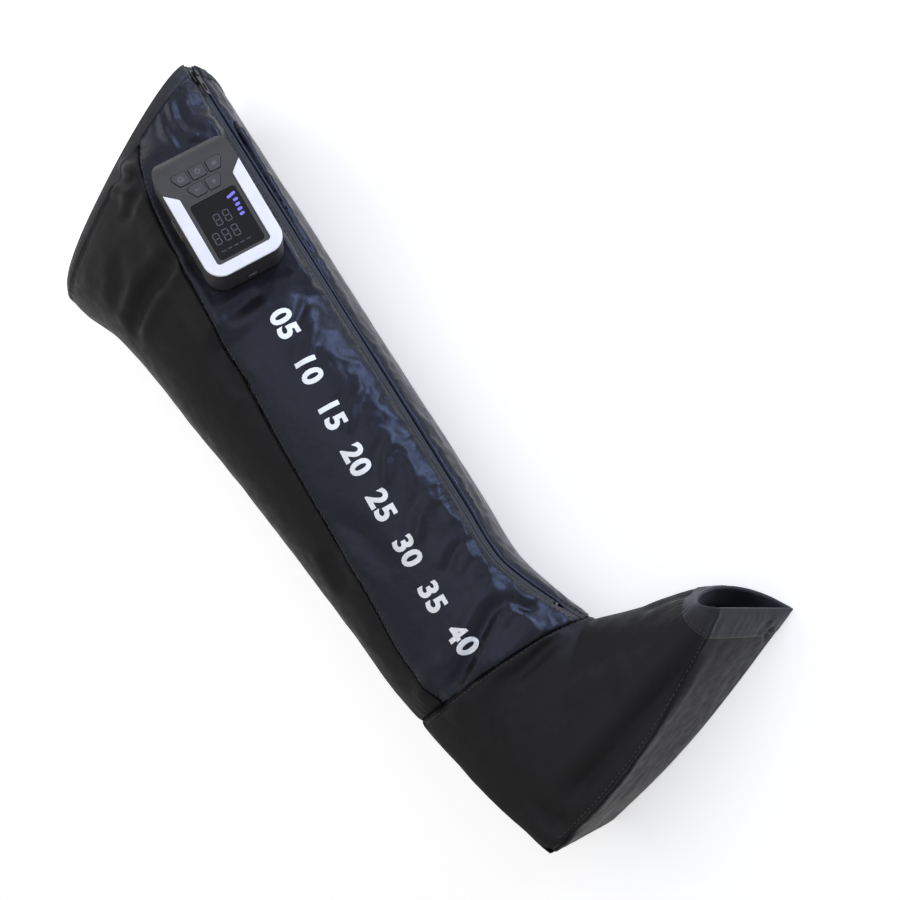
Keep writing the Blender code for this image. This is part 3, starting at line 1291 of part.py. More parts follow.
def valves():
    """The valve block: five coils on top and five nozzles through the case's floor onto the gasket."""
    low = FLOOR + FIT
    top = low + VALVE_BLOCK_HEIGHT
    valve_block = block("valve_block", (PORT_PITCH * PORT_COUNT, VALVE_BLOCK_LENGTH, VALVE_BLOCK_HEIGHT),
                        (0, PORT_Y, (low + top) / 2), "pump_plastic", CONTROLLER, FIT)
    for i, x in enumerate(port_offsets()):
        join(valve_block,
             rod(f"valve_coil_{i}", VALVE_RADIUS, (x, PORT_Y, top - FIT), (x, PORT_Y, top + VALVE_HEIGHT),
                 None, CONTROLLER, sides=12),
             rod(f"nozzle_{i}", NOZZLE_RADIUS, (x, PORT_Y, BASE), (x, PORT_Y, top - VALVE_BLOCK_HEIGHT / 2),
                 None, CONTROLLER, sides=12))
    for i, x in enumerate(port_offsets()):
        cut(valve_block, rod(f"nozzle_bore_{i}", PORT_RADIUS, (x, PORT_Y, BASE - OVERRUN), (x, PORT_Y, top - PORT_RADIUS),
                             None, CONTROLLER, sides=10))


def socket():
    """The charging socket in the foot end's wall."""
    y = -CASE_LENGTH / 2 + FIT
    body = block("charge_socket", (SOCKET_WIDTH, SOCKET_DEPTH, SOCKET_HEIGHT),
                 (0, y + SOCKET_DEPTH / 2, BASE + SOCKET_Z), "bright_metal", CONTROLLER, SOCKET_WALL / 2)
    cut(body, block("socket_mouth", (SOCKET_WIDTH - 2 * SOCKET_WALL, SOCKET_DEPTH, SOCKET_HEIGHT - 2 * SOCKET_WALL),
                    (0, y, BASE + SOCKET_Z), None, CONTROLLER))


def screws():
    """Four screws from below into the front shell's bosses."""
    seat = BASE + SCREW_SEAT - FIT
    for i, (x, y) in enumerate(boss_places()):
        screw = rod(f"case_screw_{i + 1}", SCREW_HEAD_RADIUS, (x, y, seat - SCREW_HEAD), (x, y, seat),
                    "bright_metal", CONTROLLER, sides=12)
        join(screw, rod(f"case_screw_shank_{i + 1}", SCREW_RADIUS, (x, y, seat - SCREW_HEAD / 2),
                        (x, y, seat + SCREW_LENGTH), None, CONTROLLER, sides=8))


def controller():
    rear_shell()
    front_shell()
    trim_shape("front_trim", FACE - TRIM_SEAT + FIT, FACE + TRIM_PROUD, 0.0, "trim_white", TRIM_BEVEL)
    keys()
    latches()
    display()
    cells()
    pump()
    valves()
    socket()
    screws()


def centre_origin():
    """Moves the model so that the origin is the bottom centre of its bounding box."""
    bpy.context.view_layer.update()
    depsgraph = bpy.context.evaluated_depsgraph_get()
    low, high = Vector((1, 1, 1)), Vector((-1, -1, -1))
    for obj in PARTS.objects:
        if obj.type == "EMPTY":
            continue
        shape = obj.evaluated_get(depsgraph)
        mesh = shape.to_mesh()
        for vertex in mesh.vertices:
            place = obj.matrix_world @ vertex.co
            low = Vector(map(min, low, place))
            high = Vector(map(max, high, place))
        shape.to_mesh_clear()
    ORIGIN.location = -Vector(((low.x + high.x) / 2, (low.y + high.y) / 2, low.z))


leg_panels()
foot_panels()
linings()
chambers()
bindings()
zip_strips()
zip_stop()
slider_and_pull()
dock()
hoses()
controller()
centre_origin()
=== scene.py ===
"""Looks of the air compression leg sleeve: fabric skins, seams, zip, printed scale and controller.

Lengths are in metres. The loft below is the sleeve's own: a place runs from the thigh rim (0) over
the leg's lower seam (8) and the heel (11) to the toe (16), and an angle runs round the section from
the front ridge, where the zip is, over the upper side.
"""

from math import asin, atan2, cos, pi, radians, sin, tan

import bmesh
import bpy
import numpy as np
from mathutils import Matrix, Vector, noise


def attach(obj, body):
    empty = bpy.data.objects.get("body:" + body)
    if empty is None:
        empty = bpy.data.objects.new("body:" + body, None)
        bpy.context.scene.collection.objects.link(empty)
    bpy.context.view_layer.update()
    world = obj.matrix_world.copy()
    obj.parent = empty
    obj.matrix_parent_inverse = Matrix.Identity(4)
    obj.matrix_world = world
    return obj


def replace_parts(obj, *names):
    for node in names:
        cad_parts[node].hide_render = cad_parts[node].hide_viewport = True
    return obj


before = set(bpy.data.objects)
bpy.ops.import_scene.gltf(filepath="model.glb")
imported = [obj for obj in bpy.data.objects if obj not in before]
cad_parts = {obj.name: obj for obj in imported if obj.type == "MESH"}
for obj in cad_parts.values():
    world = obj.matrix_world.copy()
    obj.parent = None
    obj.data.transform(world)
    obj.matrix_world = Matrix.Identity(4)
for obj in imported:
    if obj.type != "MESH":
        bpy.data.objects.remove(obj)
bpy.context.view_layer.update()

# Camera: turned round the leg's axis, tipped over it and rolled, at a distance from its target
FRAME_SHIFT = np.array((-0.11135, -0.40639, 0.0))
CAMERA_TARGET = np.array((0.1123, 0.3769, 0.0))
CAMERA_DISTANCE = 2.6
CAMERA_LENS = 104.0
CAMERA_SENSOR = 36.0
LEG_TURN = radians(31)
CAMERA_TIP = radians(29)
CAMERA_ROLL = radians(10)

# The loft's driving sizes
LEG_LENGTH = 0.820
BACK_REACH = 0.070
RIM_FRONT_X = 0.194
CALF_FRONT_X = 0.134
CALF_FRONT_Y = 0.240
RIM_ZIP_Z = 0.108
CALF_ZIP_Z = 0.110
THIGH_HEIGHT = 0.190
RIM_DIP = 0.016
CREASE_X = 0.153
CREASE_Y = 0.139
HEEL_X = 0.008
HEEL_Y = -0.009
FOOT_LENGTH = 0.292
TOE_RISE = 0.030
FOOT_HEIGHT = 0.140
TOE_SLANT = 0.005
TOE_TWIST = 0.028
END_LIFT = 0.0020
TABLE_PRESS_SHARE = 1.02
LEG_SHARES = (
    (1.000, 0.912, 1.000, 0.885),
    (0.890, 0.868, 0.939, 0.950),
    (0.610, 0.799, 0.857, 1.000),
    (0.500, 0.695, 0.746, 1.000),
    (0.490, 0.573, 0.613, 0.940),
    (0.550, 0.451, 0.479, 0.870),
    (0.630, 0.348, 0.366, 0.805),
)
ANKLE_SHARES = (
    (0.620, 1.220, 0.960, 1.060, 1.010, 0.30),
    (0.410, 0.800, 0.975, 1.040, 1.000, 0.60),
    (0.160, 0.370, 0.990, 1.015, 1.000, 0.85),
)
CALF_BACK_SHARES = (0.680, 1.620, 1.040, 0.10)
FOOT_SHARES = (
    (0.233, -0.20, 0.620, 0.900, 1.000),
    (0.459, 0.03, 0.712, 0.813, 1.000),
    (0.685, 0.40, 0.791, 0.748, 0.986),
    (0.873, 0.77, 0.860, 0.690, 0.970),
    (1.000, 1.00, 0.918, 0.633, 0.957),
)
RIM, SEAM, HEEL, TOE = 0, 8, 11, 16
ZIP_END = 7.6
ZIP_CLOSED = 7.7
ROUNDNESS = 2.3
SOLE_HALF_ANGLE = radians(38)
SOLE_WIDTH_SHARE = 0.95
SEAM_RIM_ANGLE = radians(62)
SEAM_ANKLE_ANGLE = radians(118)

# Fabric layers, as depths below the outer face
FIT = 0.0003
FABRIC = 0.0010
LINING_DEPTH = 0.0140
LINING_EDGE_DEPTH = 0.0022
LINING_TAPER_SHARE = 1.0

# Zip
ZIP_WINDOW = 0.0070
TAPE_HALF_WIDTH = 0.0120
COIL_GAP = 0.0014
COIL_WIDTH = 0.0028

# Dock and controller, in the dock's frame
DOCK_STATION = 2.48
DOCK_ANGLE = radians(46)
DOCK_TURN = radians(-1.4)
DOCK_SINK = 0.0040
SLOPE_STEP = 0.02
NORMAL_STEP = 0.01
BISECTIONS = 30
FLAT_MARGIN_X = 0.0060
FLAT_MARGIN_Y = 0.0160
FLAT_FADE = 0.0300
FLAT_REACH = 0.050
ZIP_CLEAR = 0.0140
ZIP_FADE = 0.0080
CASE_WIDTH = 0.082
CASE_LENGTH = 0.136
CASE_RADIUS = 0.018
CASE_HEIGHT = 0.0400
CASE_SPLIT = 0.0200
DOCK_THICKNESS = 0.0040


# The sleeve's loft


def clamp01(value):
    return np.clip(value, 0.0, 1.0)


def ease(value):
    """Smooth step from 0 to 1."""
    value = clamp01(value)
    return value * value * (3 - 2 * value)


def front_line(y):
    share = (y - CALF_FRONT_Y) / (LEG_LENGTH - CALF_FRONT_Y)
    return CALF_FRONT_X + (RIM_FRONT_X - CALF_FRONT_X) * share, CALF_ZIP_Z + (RIM_ZIP_Z - CALF_ZIP_Z) * share


def leg_rows():
    rows = []
    for back_x, back_y, front_y, height in LEG_SHARES:
        x, z = front_line(front_y * LEG_LENGTH)
        rows.append((-back_x * BACK_REACH, back_y * LEG_LENGTH, x, front_y * LEG_LENGTH,
                     height * THIGH_HEIGHT, z, 0))
    back_x, back_y, height, square = CALF_BACK_SHARES
    rows.append((-back_x * BACK_REACH, back_y * CREASE_Y, CALF_FRONT_X, CALF_FRONT_Y,
                 height * FOOT_HEIGHT, CALF_ZIP_Z, square))
    for back_x, back_y, front_x, front_y, height, square in ANKLE_SHARES:
        rows.append((-back_x * BACK_REACH, back_y * CREASE_Y, front_x * CREASE_X, front_y * CREASE_Y,
                     height * FOOT_HEIGHT, height * FOOT_HEIGHT / 2, square))
    rows.append((HEEL_X, HEEL_Y, CREASE_X, CREASE_Y, FOOT_HEIGHT, FOOT_HEIGHT / 2, 1))
    return np.array(rows)


def foot_rows():
    rows = [(HEEL_X, HEEL_Y, CREASE_X, CREASE_Y, FOOT_HEIGHT, FOOT_HEIGHT / 2, 1)]
    for sole_x, sole_y, instep_x, instep_y, height in FOOT_SHARES:
        rows.append((sole_x * FOOT_LENGTH, sole_y * TOE_RISE, instep_x * FOOT_LENGTH, instep_y * CREASE_Y,
                     height * FOOT_HEIGHT, height * FOOT_HEIGHT / 2, 1))
    return np.array(rows)


def tangents(rows):
    slopes = np.diff(rows, axis=0)
    before, after = slopes[:-1], slopes[1:]
    turning = before * after <= 0
    total = np.where(turning, 1, before + after)
    inner = np.where(turning, 0, 2 * before * after / total)
    return np.vstack((slopes[:1], inner, slopes[-1:]))


LEG_ROWS, FOOT_ROWS = leg_rows(), foot_rows()
LEG_TANGENTS, FOOT_TANGENTS = tangents(LEG_ROWS), tangents(FOOT_ROWS)


def monotone(rows, slopes, position):
    """Monotone cubic through rows at whole numbers, straight beyond both ends."""
    last = len(rows) - 1
    index = np.clip(np.floor(position).astype(int), 0, last - 1)
    share = (position - index)[:, None]
    start, end = slopes[index], slopes[index + 1]
    inside = clamp01(share)
    square, cube = inside**2, inside**3
    curve = (rows[index] * (2 * cube - 3 * square + 1) + start * (cube - 2 * square + inside)
             + rows[index + 1] * (3 * square - 2 * cube) + end * (cube - square))
    return curve + np.where(share < 0, start, end) * (share - inside)


def station(place):
    leg = monotone(LEG_ROWS, LEG_TANGENTS, np.minimum(place, HEEL))
    foot = monotone(FOOT_ROWS, FOOT_TANGENTS, np.maximum(place, HEEL) - HEEL)
    return np.where((place <= HEEL)[:, None], leg, foot)


def unit_section(angle, square):
    turn = np.abs((angle + pi) % (2 * pi) - pi)
    across = np.abs(np.cos(turn)) ** (2 / ROUNDNESS) * np.sign(np.cos(turn))
    rise = np.maximum(np.sin(turn), 0) ** (2 / ROUNDNESS)
    edge = asin(SOLE_WIDTH_SHARE)
    swing = turn / (pi - SOLE_HALF_ANGLE) * (pi - edge)
    sole = turn > pi - SOLE_HALF_ANGLE
    box_across = np.where(sole, -1, 1 - 2 * (1 - np.cos(swing)) / (1 + cos(edge)))
    box_rise = np.where(sole, SOLE_WIDTH_SHARE * (pi - turn) / SOLE_HALF_ANGLE, np.sin(swing))
    return across + (box_across - across) * square, rise + (box_rise - rise) * square


def together(*values):
    """Numbers and arrays as arrays of one length."""
    return np.broadcast_arrays(*(np.atleast_1d(np.asarray(value, float)) for value in values))


def lengths(vectors):
    return np.linalg.norm(vectors, axis=1)


def plain_points(place, angle, depth=0.0):
    """Points of the sleeve before the dock flattens it, depth below its outer face."""
    place, angle, depth = together(place, angle, depth)
    back_x, back_y, front_x, front_y, height, ridge, square = station(place).T
    across, rise = unit_section(angle, square)
    back, front = np.stack((back_x, back_y), 1), np.stack((front_x, front_y), 1)
    inward = (front - back) / lengths(front - back)[:, None] * depth[:, None]
    back, front = back + inward, front - inward
    x, y = ((back + front) / 2 + (front - back) / 2 * across[:, None]).T
    level = height / 2 + (ridge - height / 2) * (1 + across) / 2
    low = level - np.minimum(rise * TABLE_PRESS_SHARE, 1) * (level - depth)
    low += END_LIFT * (ease(1 - place) + ease(1 - (TOE - place))) * (1 - low / level)
    z = np.where(np.sin(angle) >= 0, level + rise * (height - depth - level), low)
    y = y - RIM_DIP * np.abs(np.sin(angle)) * ease(1 - place / 2)
    toeward = clamp01((place - HEEL) / (TOE - HEEL))
    x = x - TOE_SLANT * ease(toeward) * z / height
    y = y + TOE_TWIST * toeward**2 * z / height * (1 - across) / 2
    return np.stack((x, y, z), 1)


def dock_axes():
    """Matrix of the dock, from the design frame: x across the leg, y towards the hip, z outwards."""
    def at(place, angle):
        return Vector(plain_points(place, angle)[0])

    here = at(DOCK_STATION, DOCK_ANGLE)
    around = at(DOCK_STATION, DOCK_ANGLE + SLOPE_STEP) - at(DOCK_STATION, DOCK_ANGLE - SLOPE_STEP)
    along = at(DOCK_STATION - SLOPE_STEP, DOCK_ANGLE) - at(DOCK_STATION + SLOPE_STEP, DOCK_ANGLE)
    out = along.cross(around).normalized()
    hip = at(1, 0) - at(3, 0)
    hip = (hip - out * hip.dot(out)).normalized()
    hip.rotate(Matrix.Rotation(DOCK_TURN, 3, out))
    matrix = Matrix((hip.cross(out), hip, out)).transposed().to_4x4()
    matrix.translation = here - out * DOCK_SINK
    return matrix


DOCK = dock_axes()
DOCK_WORLD = Matrix.Translation(Vector(FRAME_SHIFT)) @ DOCK
DOCK_TURNED = np.array(DOCK.to_3x3())
DOCK_PLACE = np.array(DOCK.translation)


def design_points(place, angle, depth=0.0):
    """Points of the sleeve with the fabric pulled flat under the dock, in the design frame."""
    place, angle, depth = together(place, angle, depth)
    surface = plain_points(place, angle)
    over = (surface - DOCK_PLACE) @ DOCK_TURNED
    over_x = np.maximum(np.abs(over[:, 0]) - CASE_WIDTH / 2 - FLAT_MARGIN_X, 0)
    over_y = np.maximum(np.abs(over[:, 1]) - CASE_LENGTH / 2 - FLAT_MARGIN_Y, 0)
    hold = ease(1 - np.hypot(over_x, over_y) / FLAT_FADE)
    middle = plain_points(place, 0.0)[:, 2]
    hold *= ease((np.abs(surface[:, 2] - middle) - ZIP_CLEAR) / ZIP_FADE)
    hold = np.where(np.abs(over[:, 2]) > FLAT_REACH, 0, hold)
    local = (plain_points(place, angle, depth) - DOCK_PLACE) @ DOCK_TURNED
    local[:, 2] += hold * (-depth - local[:, 2])
    return local @ DOCK_TURNED.T + DOCK_PLACE


def points(place, angle, depth=0.0):
    """Points of the sleeve in the world frame."""
    return design_points(place, angle, depth) + FRAME_SHIFT


def outward(place, angle):
    """Unit normals of the sleeve's outer face."""
    along = points(place + NORMAL_STEP, angle) - points(place - NORMAL_STEP, angle)
    around = points(place, angle + NORMAL_STEP) - points(place, angle - NORMAL_STEP)
    normal = np.cross(around, along)
    return normal / np.maximum(lengths(normal), 1e-9)[:, None]


def run_along(line):
    """How far along a line of points each of them is."""
    return np.concatenate(([0], np.cumsum(lengths(np.diff(line, axis=0)))))


def widest_angle(count, limit, near):
    """The widest angle, up to a limit, at which near still holds, for each of some places."""
    low, high = np.zeros(count), np.full(count, limit)
    for _ in range(BISECTIONS):
        angle = (low + high) / 2
        inside = near(angle)
        low, high = np.where(inside, angle, low), np.where(inside, high, angle)
    return low


def seam_angles(place):
    return SEAM_RIM_ANGLE + (SEAM_ANKLE_ANGLE - SEAM_RIM_ANGLE) * clamp01(np.asarray(place) / SEAM)


# Materials


def make_material(name, slot, colour, roughness=0.5, metallic=0.0, **sockets):
    """A Principled material; every value that is the same all over sits on the shader's own socket."""
    made = bpy.data.materials.new(name)
    made.use_nodes = True
    made["slot"] = slot
    shader = made.node_tree.nodes["Principled BSDF"]
    shader.inputs["Base Color"].default_value = (*colour, 1)
    shader.inputs["Roughness"].default_value = roughness
    shader.inputs["Metallic"].default_value = metallic
    for socket, value in sockets.items():
        shader.inputs[socket.replace("_", " ")].default_value = value
    return made


class Nodes:
    """Short calls for wiring one material's nodes."""

    def __init__(self, made):
        self.tree = made.node_tree
        self.shader = self.tree.nodes["Principled BSDF"]
        self.coordinates = self.tree.nodes.new("ShaderNodeTexCoord")

    def link(self, out, into):
        self.tree.links.new(out, into)

    def feed(self, socket, out):
        self.link(out, self.shader.inputs[socket])

    def spread(self, scale, source="Object", turn=0.0):
        mapping = self.tree.nodes.new("ShaderNodeMapping")
        mapping.inputs["Scale"].default_value = scale
        mapping.inputs["Rotation"].default_value = (0, 0, turn)
        self.link(self.coordinates.outputs[source], mapping.inputs["Vector"])
        return mapping.outputs["Vector"]

    def noise(self, vector, scale, detail=3.0, roughness=0.5):
        made = self.tree.nodes.new("ShaderNodeTexNoise")
        made.inputs["Scale"].default_value = scale
        made.inputs["Detail"].default_value = detail
        made.inputs["Roughness"].default_value = roughness
        self.link(vector, made.inputs["Vector"])
        return made.outputs["Fac"]

    def wave(self, vector, scale, direction="X", distortion=0.0):
        made = self.tree.nodes.new("ShaderNodeTexWave")
        made.bands_direction = direction
        made.inputs["Scale"].default_value = scale
        made.inputs["Distortion"].default_value = distortion
        self.link(vector, made.inputs["Vector"])
        return made.outputs["Fac"]

    def math(self, operation, first, second):
        made = self.tree.nodes.new("ShaderNodeMath")
        made.operation = operation
        for socket, value in zip(made.inputs, (first, second)):
            if isinstance(value, (int, float)):
                socket.default_value = value
            else:
                self.link(value, socket)
        return made.outputs[0]

    def remap(self, value, low, high, to_low, to_high):
        made = self.tree.nodes.new("ShaderNodeMapRange")
        for socket, number in zip(("From Min", "From Max", "To Min", "To Max"), (low, high, to_low, to_high)):
            made.inputs[socket].default_value = number
        self.link(value, made.inputs["Value"])
        return made.outputs["Result"]

    def mix(self, share, first, second):
        made = self.tree.nodes.new("ShaderNodeMix")
        made.data_type = "RGBA"
        self.link(share, made.inputs["Factor"])
        made.inputs["A"].default_value = (*first, 1)
        made.inputs["B"].default_value = (*second, 1)
        return made.outputs["Result"]

    def bump(self, height, strength, distance, before=None):
        made = self.tree.nodes.new("ShaderNodeBump")
        made.inputs["Strength"].default_value = strength
        made.inputs["Distance"].default_value = distance
        self.link(height, made.inputs["Height"])
        if before:
            self.link(before, made.inputs["Normal"])
        return made.outputs["Normal"]


def woven(name, slot, dark, light, roughness, thread, sheen=0.0, crinkle=0.0, specular=0.2, **sockets):
    """A woven fabric: threads both ways in UV millimetres, soft crinkles and an uneven colour."""
    made = make_material(name, slot, dark, roughness, Sheen_Weight=sheen, Sheen_Roughness=0.4,
                         Specular_IOR_Level=specular, **sockets)
    nodes = Nodes(made)
    threads = nodes.spread((1000 / thread, 1000 / thread, 1), "UV")
    warp = nodes.wave(threads, 0.318, "X")
    weft = nodes.wave(threads, 0.318, "Y")
    weave = nodes.math("MULTIPLY", warp, weft)
    cloud = nodes.noise(nodes.spread((1, 1, 1)), 14.0, 4.0, 0.6)
    tone = nodes.math("ADD", nodes.math("MULTIPLY", cloud, 0.75), nodes.math("MULTIPLY", weave, 0.25))
    nodes.feed("Base Color", nodes.mix(tone, dark, light))
    fine = nodes.noise(nodes.spread((1, 1, 1)), 90.0, 3.0, 0.5)
    nodes.feed("Roughness", nodes.remap(fine, 0.3, 0.7, roughness - 0.06, roughness + 0.08))
    normal = nodes.bump(fine, crinkle, 0.004) if crinkle else None
    nodes.feed("Normal", nodes.bump(weave, 0.25, thread / 4000, normal))
    return made


def moulded(name, slot, colour, roughness, grain=0.12, scale=2200.0, **sockets):
    """A moulded plastic or rubber: a fine spark-eroded grain and faint wear in its gloss."""
    made = make_material(name, slot, colour, roughness, **sockets)
    nodes = Nodes(made)
    everywhere = nodes.spread((1, 1, 1))
    grain_height = nodes.noise(everywhere, scale, 2.0)
    cloud = nodes.noise(everywhere, 60.0, 4.0, 0.6)
    tone = nodes.mix(cloud, tuple(c * 0.9 for c in colour), tuple(min(c * 1.1, 1) for c in colour))
    nodes.feed("Base Color", tone)
    nodes.feed("Roughness", nodes.remap(cloud, 0.3, 0.7, roughness - 0.05, roughness + 0.06))
    nodes.feed("Normal", nodes.bump(grain_height, grain, 0.0002))
    return made


def make_lit(name, colour, strength):
    """Segments that glow under the glass, a little uneven along their length."""
    made = make_material(name, "lens_black", colour, 0.3)
    nodes = Nodes(made)
    cloud = nodes.noise(nodes.spread((1, 1, 1)), 500.0, 1.0)
    dim = tuple(c * 0.75 for c in colour)
    tone = nodes.mix(cloud, dim, colour)
    nodes.feed("Base Color", tone)
    nodes.feed("Emission Color", tone)
    nodes.shader.inputs["Emission Strength"].default_value = strength
    return made


def metal(name, slot, colour, roughness):
    """A brushed or enamelled metal: fine lines along one way and scattered marks."""
    made = make_material(name, slot, colour, roughness, 1.0)
    nodes = Nodes(made)
    lines = nodes.noise(nodes.spread((1, 25, 1)), 260.0, 2.0)
    marks = nodes.noise(nodes.spread((1, 1, 1)), 120.0, 4.0, 0.65)
    nodes.feed("Roughness", nodes.remap(marks, 0.3, 0.7, roughness - 0.07, roughness + 0.1))
    nodes.feed("Normal", nodes.bump(lines, 0.12, 0.0002))
    return made


NAVY = woven("nylon_navy", "nylon_navy", (0.0095, 0.0085, 0.0105), (0.0130, 0.0118, 0.0145), 0.30, 0.45,
             crinkle=0.16, specular=0.24, Specular_Tint=(0.58, 0.70, 1.0, 1))
BLACK = woven("nylon_black", "nylon_black", (0.0075, 0.0070, 0.0080), (0.0100, 0.0095, 0.0108), 0.50, 0.45,
              crinkle=0.10, specular=0.12)
HEM = woven("hem_tape", "nylon_black", (0.014, 0.014, 0.017), (0.022, 0.022, 0.026), 0.60, 0.8, 0.15)
LINING = woven("lining_knit", "lining_fabric", (0.007, 0.007, 0.008), (0.012, 0.012, 0.014), 0.80, 1.2, 0.10,
               specular=0.05)
TAPE = woven("zip_tape", "zip_fabric", (0.034, 0.037, 0.048), (0.060, 0.064, 0.080), 0.60, 0.9, 0.05)
FILM = moulded("chamber_film", "air_chamber_film", (0.25, 0.27, 0.30), 0.42, 0.1, 700.0)
PRINT = moulded("print_white", "nylon_navy", (0.90, 0.91, 0.93), 0.55, 0.25, 1500.0)
THREAD = moulded("thread", "nylon_black", (0.010, 0.010, 0.013), 0.60, 0.3, 3000.0)
COIL = moulded("zip_coil", "zip_coil", (0.035, 0.037, 0.046), 0.34, 0.1)
CASE = moulded("case_black", "case_black", (0.024, 0.023, 0.024), 0.42)
TRIM = moulded("trim_white", "trim_white", (0.78, 0.76, 0.77), 0.38, 0.05, Specular_IOR_Level=0.4)
KEY = moulded("key_black", "key_black", (0.030, 0.029, 0.031), 0.48)
MARK = moulded("key_mark", "key_black", (0.16, 0.16, 0.17), 0.5, 0.05)
GLASS = moulded("display_glass", "lens_black", (0.007, 0.007, 0.009), 0.12, 0.0, Specular_IOR_Level=0.18)
DIM = make_lit("dim_segments", (0.055, 0.058, 0.08), 0.28)
VIOLET = make_lit("lit_segments", (0.13, 0.12, 0.50), 0.8)
SILICONE = moulded("silicone", "silicone", (0.10, 0.10, 0.11), 0.60)
PUMP = moulded("pump_plastic", "pump_plastic", (0.70, 0.70, 0.68), 0.45)
HOSE = moulded("hose_vinyl", "hose_vinyl", (0.55, 0.58, 0.60), 0.30, 0.05)
BOARD = moulded("circuit_board", "circuit_board", (0.02, 0.12, 0.05), 0.45, 0.15, 900.0)
WRAP = moulded("cell_wrap", "cell_wrap", (0.05, 0.18, 0.42), 0.35, 0.05)
ENAMEL = metal("slider_enamel", "slider_metal", (0.07, 0.07, 0.075), 0.34)
STEEL = metal("bright_metal", "bright_metal", (0.60, 0.60, 0.61), 0.30)


# Folds of the fabric

# Drawn folds: points as (place, angle in degrees), half width, depth (below 0 for a ridge)
FOLDS = (
    (((0.05, 82), (0.62, 80), (1.28, 74)), 0.0070, 0.0050),
    (((1.33, 73), (1.30, 82), (1.33, 88)), 0.0060, 0.0030),
    (((2.35, 78), (2.38, 84), (2.30, 96), (2.30, 116), (2.33, 127)), 0.0090, 0.0065),
    (((3.30, 47), (3.28, 64), (3.23, 80)), 0.0080, 0.0040),
    (((0.23, 33), (0.83, 38), (1.28, 36), (1.50, 24)), 0.0045, -0.0030),
    (((0.30, 42), (0.85, 46), (1.35, 44)), 0.0045, -0.0022),
    (((7.40, 30), (7.40, 52), (7.50, 70), (7.70, 90), (8.08, 112)), 0.0075, 0.0065),
    (((7.78, 26), (7.75, 46), (7.85, 66), (8.05, 84)), 0.0110, -0.0040),
    (((9.68, 24), (9.03, 48), (8.97, 67), (8.65, 82), (8.85, 96), (9.30, 110), (9.73, 122)), 0.0060, 0.0042),
    (((7.62, 24), (7.50, 31), (7.40, 35)), 0.0050, 0.0030),
    (((7.70, 92), (7.75, 108), (8.10, 125)), 0.0100, 0.0060),
    (((10.90, 120), (11.10, 130), (11.50, 136)), 0.0100, 0.0060),
    (((15.25, 138), (14.05, 127), (13.08, 121), (11.98, 123), (11.20, 127)), 0.0100, 0.0065),
    (((15.65, 194), (15.05, 212)), 0.0040, 0.0030),
    (((15.80, 18), (14.38, 12), (13.03, 20)), 0.0090, 0.0030),
    (((3.83, 88), (3.65, 90), (3.48, 88)), 0.0080, 0.0030),
    (((5.83, 114), (5.50, 110), (5.33, 104)), 0.0100, 0.0040),
    (((3.80, 22), (3.92, 40), (4.12, 62)), 0.0055, -0.0024),
    (((3.62, 24), (3.70, 36), (3.80, 50)), 0.0045, 0.0024),
    (((4.50, 24), (4.58, 42), (4.78, 62)), 0.0055, -0.0024),
    (((5.05, 26), (5.15, 44), (5.40, 60)), 0.0050, -0.0026),
    (((5.75, 30), (5.85, 48), (6.08, 66)), 0.0055, -0.0024),
    (((6.55, 30), (6.60, 44), (6.75, 58)), 0.0050, 0.0026),
    (((5.10, 92), (5.60, 86), (6.20, 84)), 0.0110, 0.0022),
    (((1.50, 96), (1.90, 108), (2.00, 124)), 0.0100, 0.0030),
    (((10.2, 60), (11.6, 66), (13.0, 64)), 0.0160, -0.0022),
)
PUFF = 0.0016
PUFF_REACH = 0.010
SEAM_DIP = 0.0012
SEAM_DIP_WIDTH = 0.0016
STITCH_OFFSET = 0.0118
CRINKLE_REACH = 0.030
CRINKLE_HEIGHT = 0.0030
FACET_HEIGHT = 0.0011
CREASE_HEIGHT = 0.0011
SOLE_EDGE = 0.0016
HEM_WIDTH = 0.015
HEM_DIP = 0.0008
HEM_DIP_WIDTH = 0.0018
# Turns an angle into metres round the sleeve, for gathers that run round it
GIRTH_RADIUS = 0.09
# Gathers: height, pitch, reach from the seam and, but for the two hems, seed
SIDE_GATHERS = (0.0007, 0.011, 0.012, 3)
ANKLE_GATHERS = (0.0006, 0.012, 0.012, 5)
SOLE_GATHERS = (0.0005, 0.013, 0.012, 9)
ZIP_GATHERS = (0.0012, 0.014, 0.016, 17)
HEM_GATHERS = (0.0006, 0.012, 0.009)
# Slack: height, scale, stretch along the leg, seed
LINING_SLACK = ((0.0020, 20.0, 0.6, 51), (0.0008, 60.0, 0.6, 53))
SLACK = ((0.0022, 11.0, 0.7, 31), (0.00035, 70.0, 0.8, 43))
# Ridged noise: scale, stretch, seed, sharpness; and the noise that says where it is strong
CRINKLES = (46.0, (1, 0.75, 1), 21, 2.2)
FACETS = (85.0, (1, 1.2, 1), 27, 2.6)
CREASES = (17.0, (1, 0.55, 1), 37, 2)
CRINKLE_PATCHES = (22.0, (1.2, 0.8, 1), 23)
CREASE_PATCHES = (8.0, (1, 1, 1), 41)
# How far from the zip, the dock, both rims and the table the fabric takes to come free
ZIP_HOLD = 0.006
DOCK_HOLD = 0.014
RIM_HOLD = 0.005
TABLE_HOLD = 0.020


def noise_field(where, scale, stretch=(1, 1, 1), seed=0.0):
    """Gradient noise from -1 to 1 at points, as an array."""
    shift = np.array((seed, seed * 1.7, -seed))
    return np.array([noise.noise(spot) for spot in where * stretch * scale + shift])


def bell(gap, width):
    return np.exp(-(gap / width) ** 2)


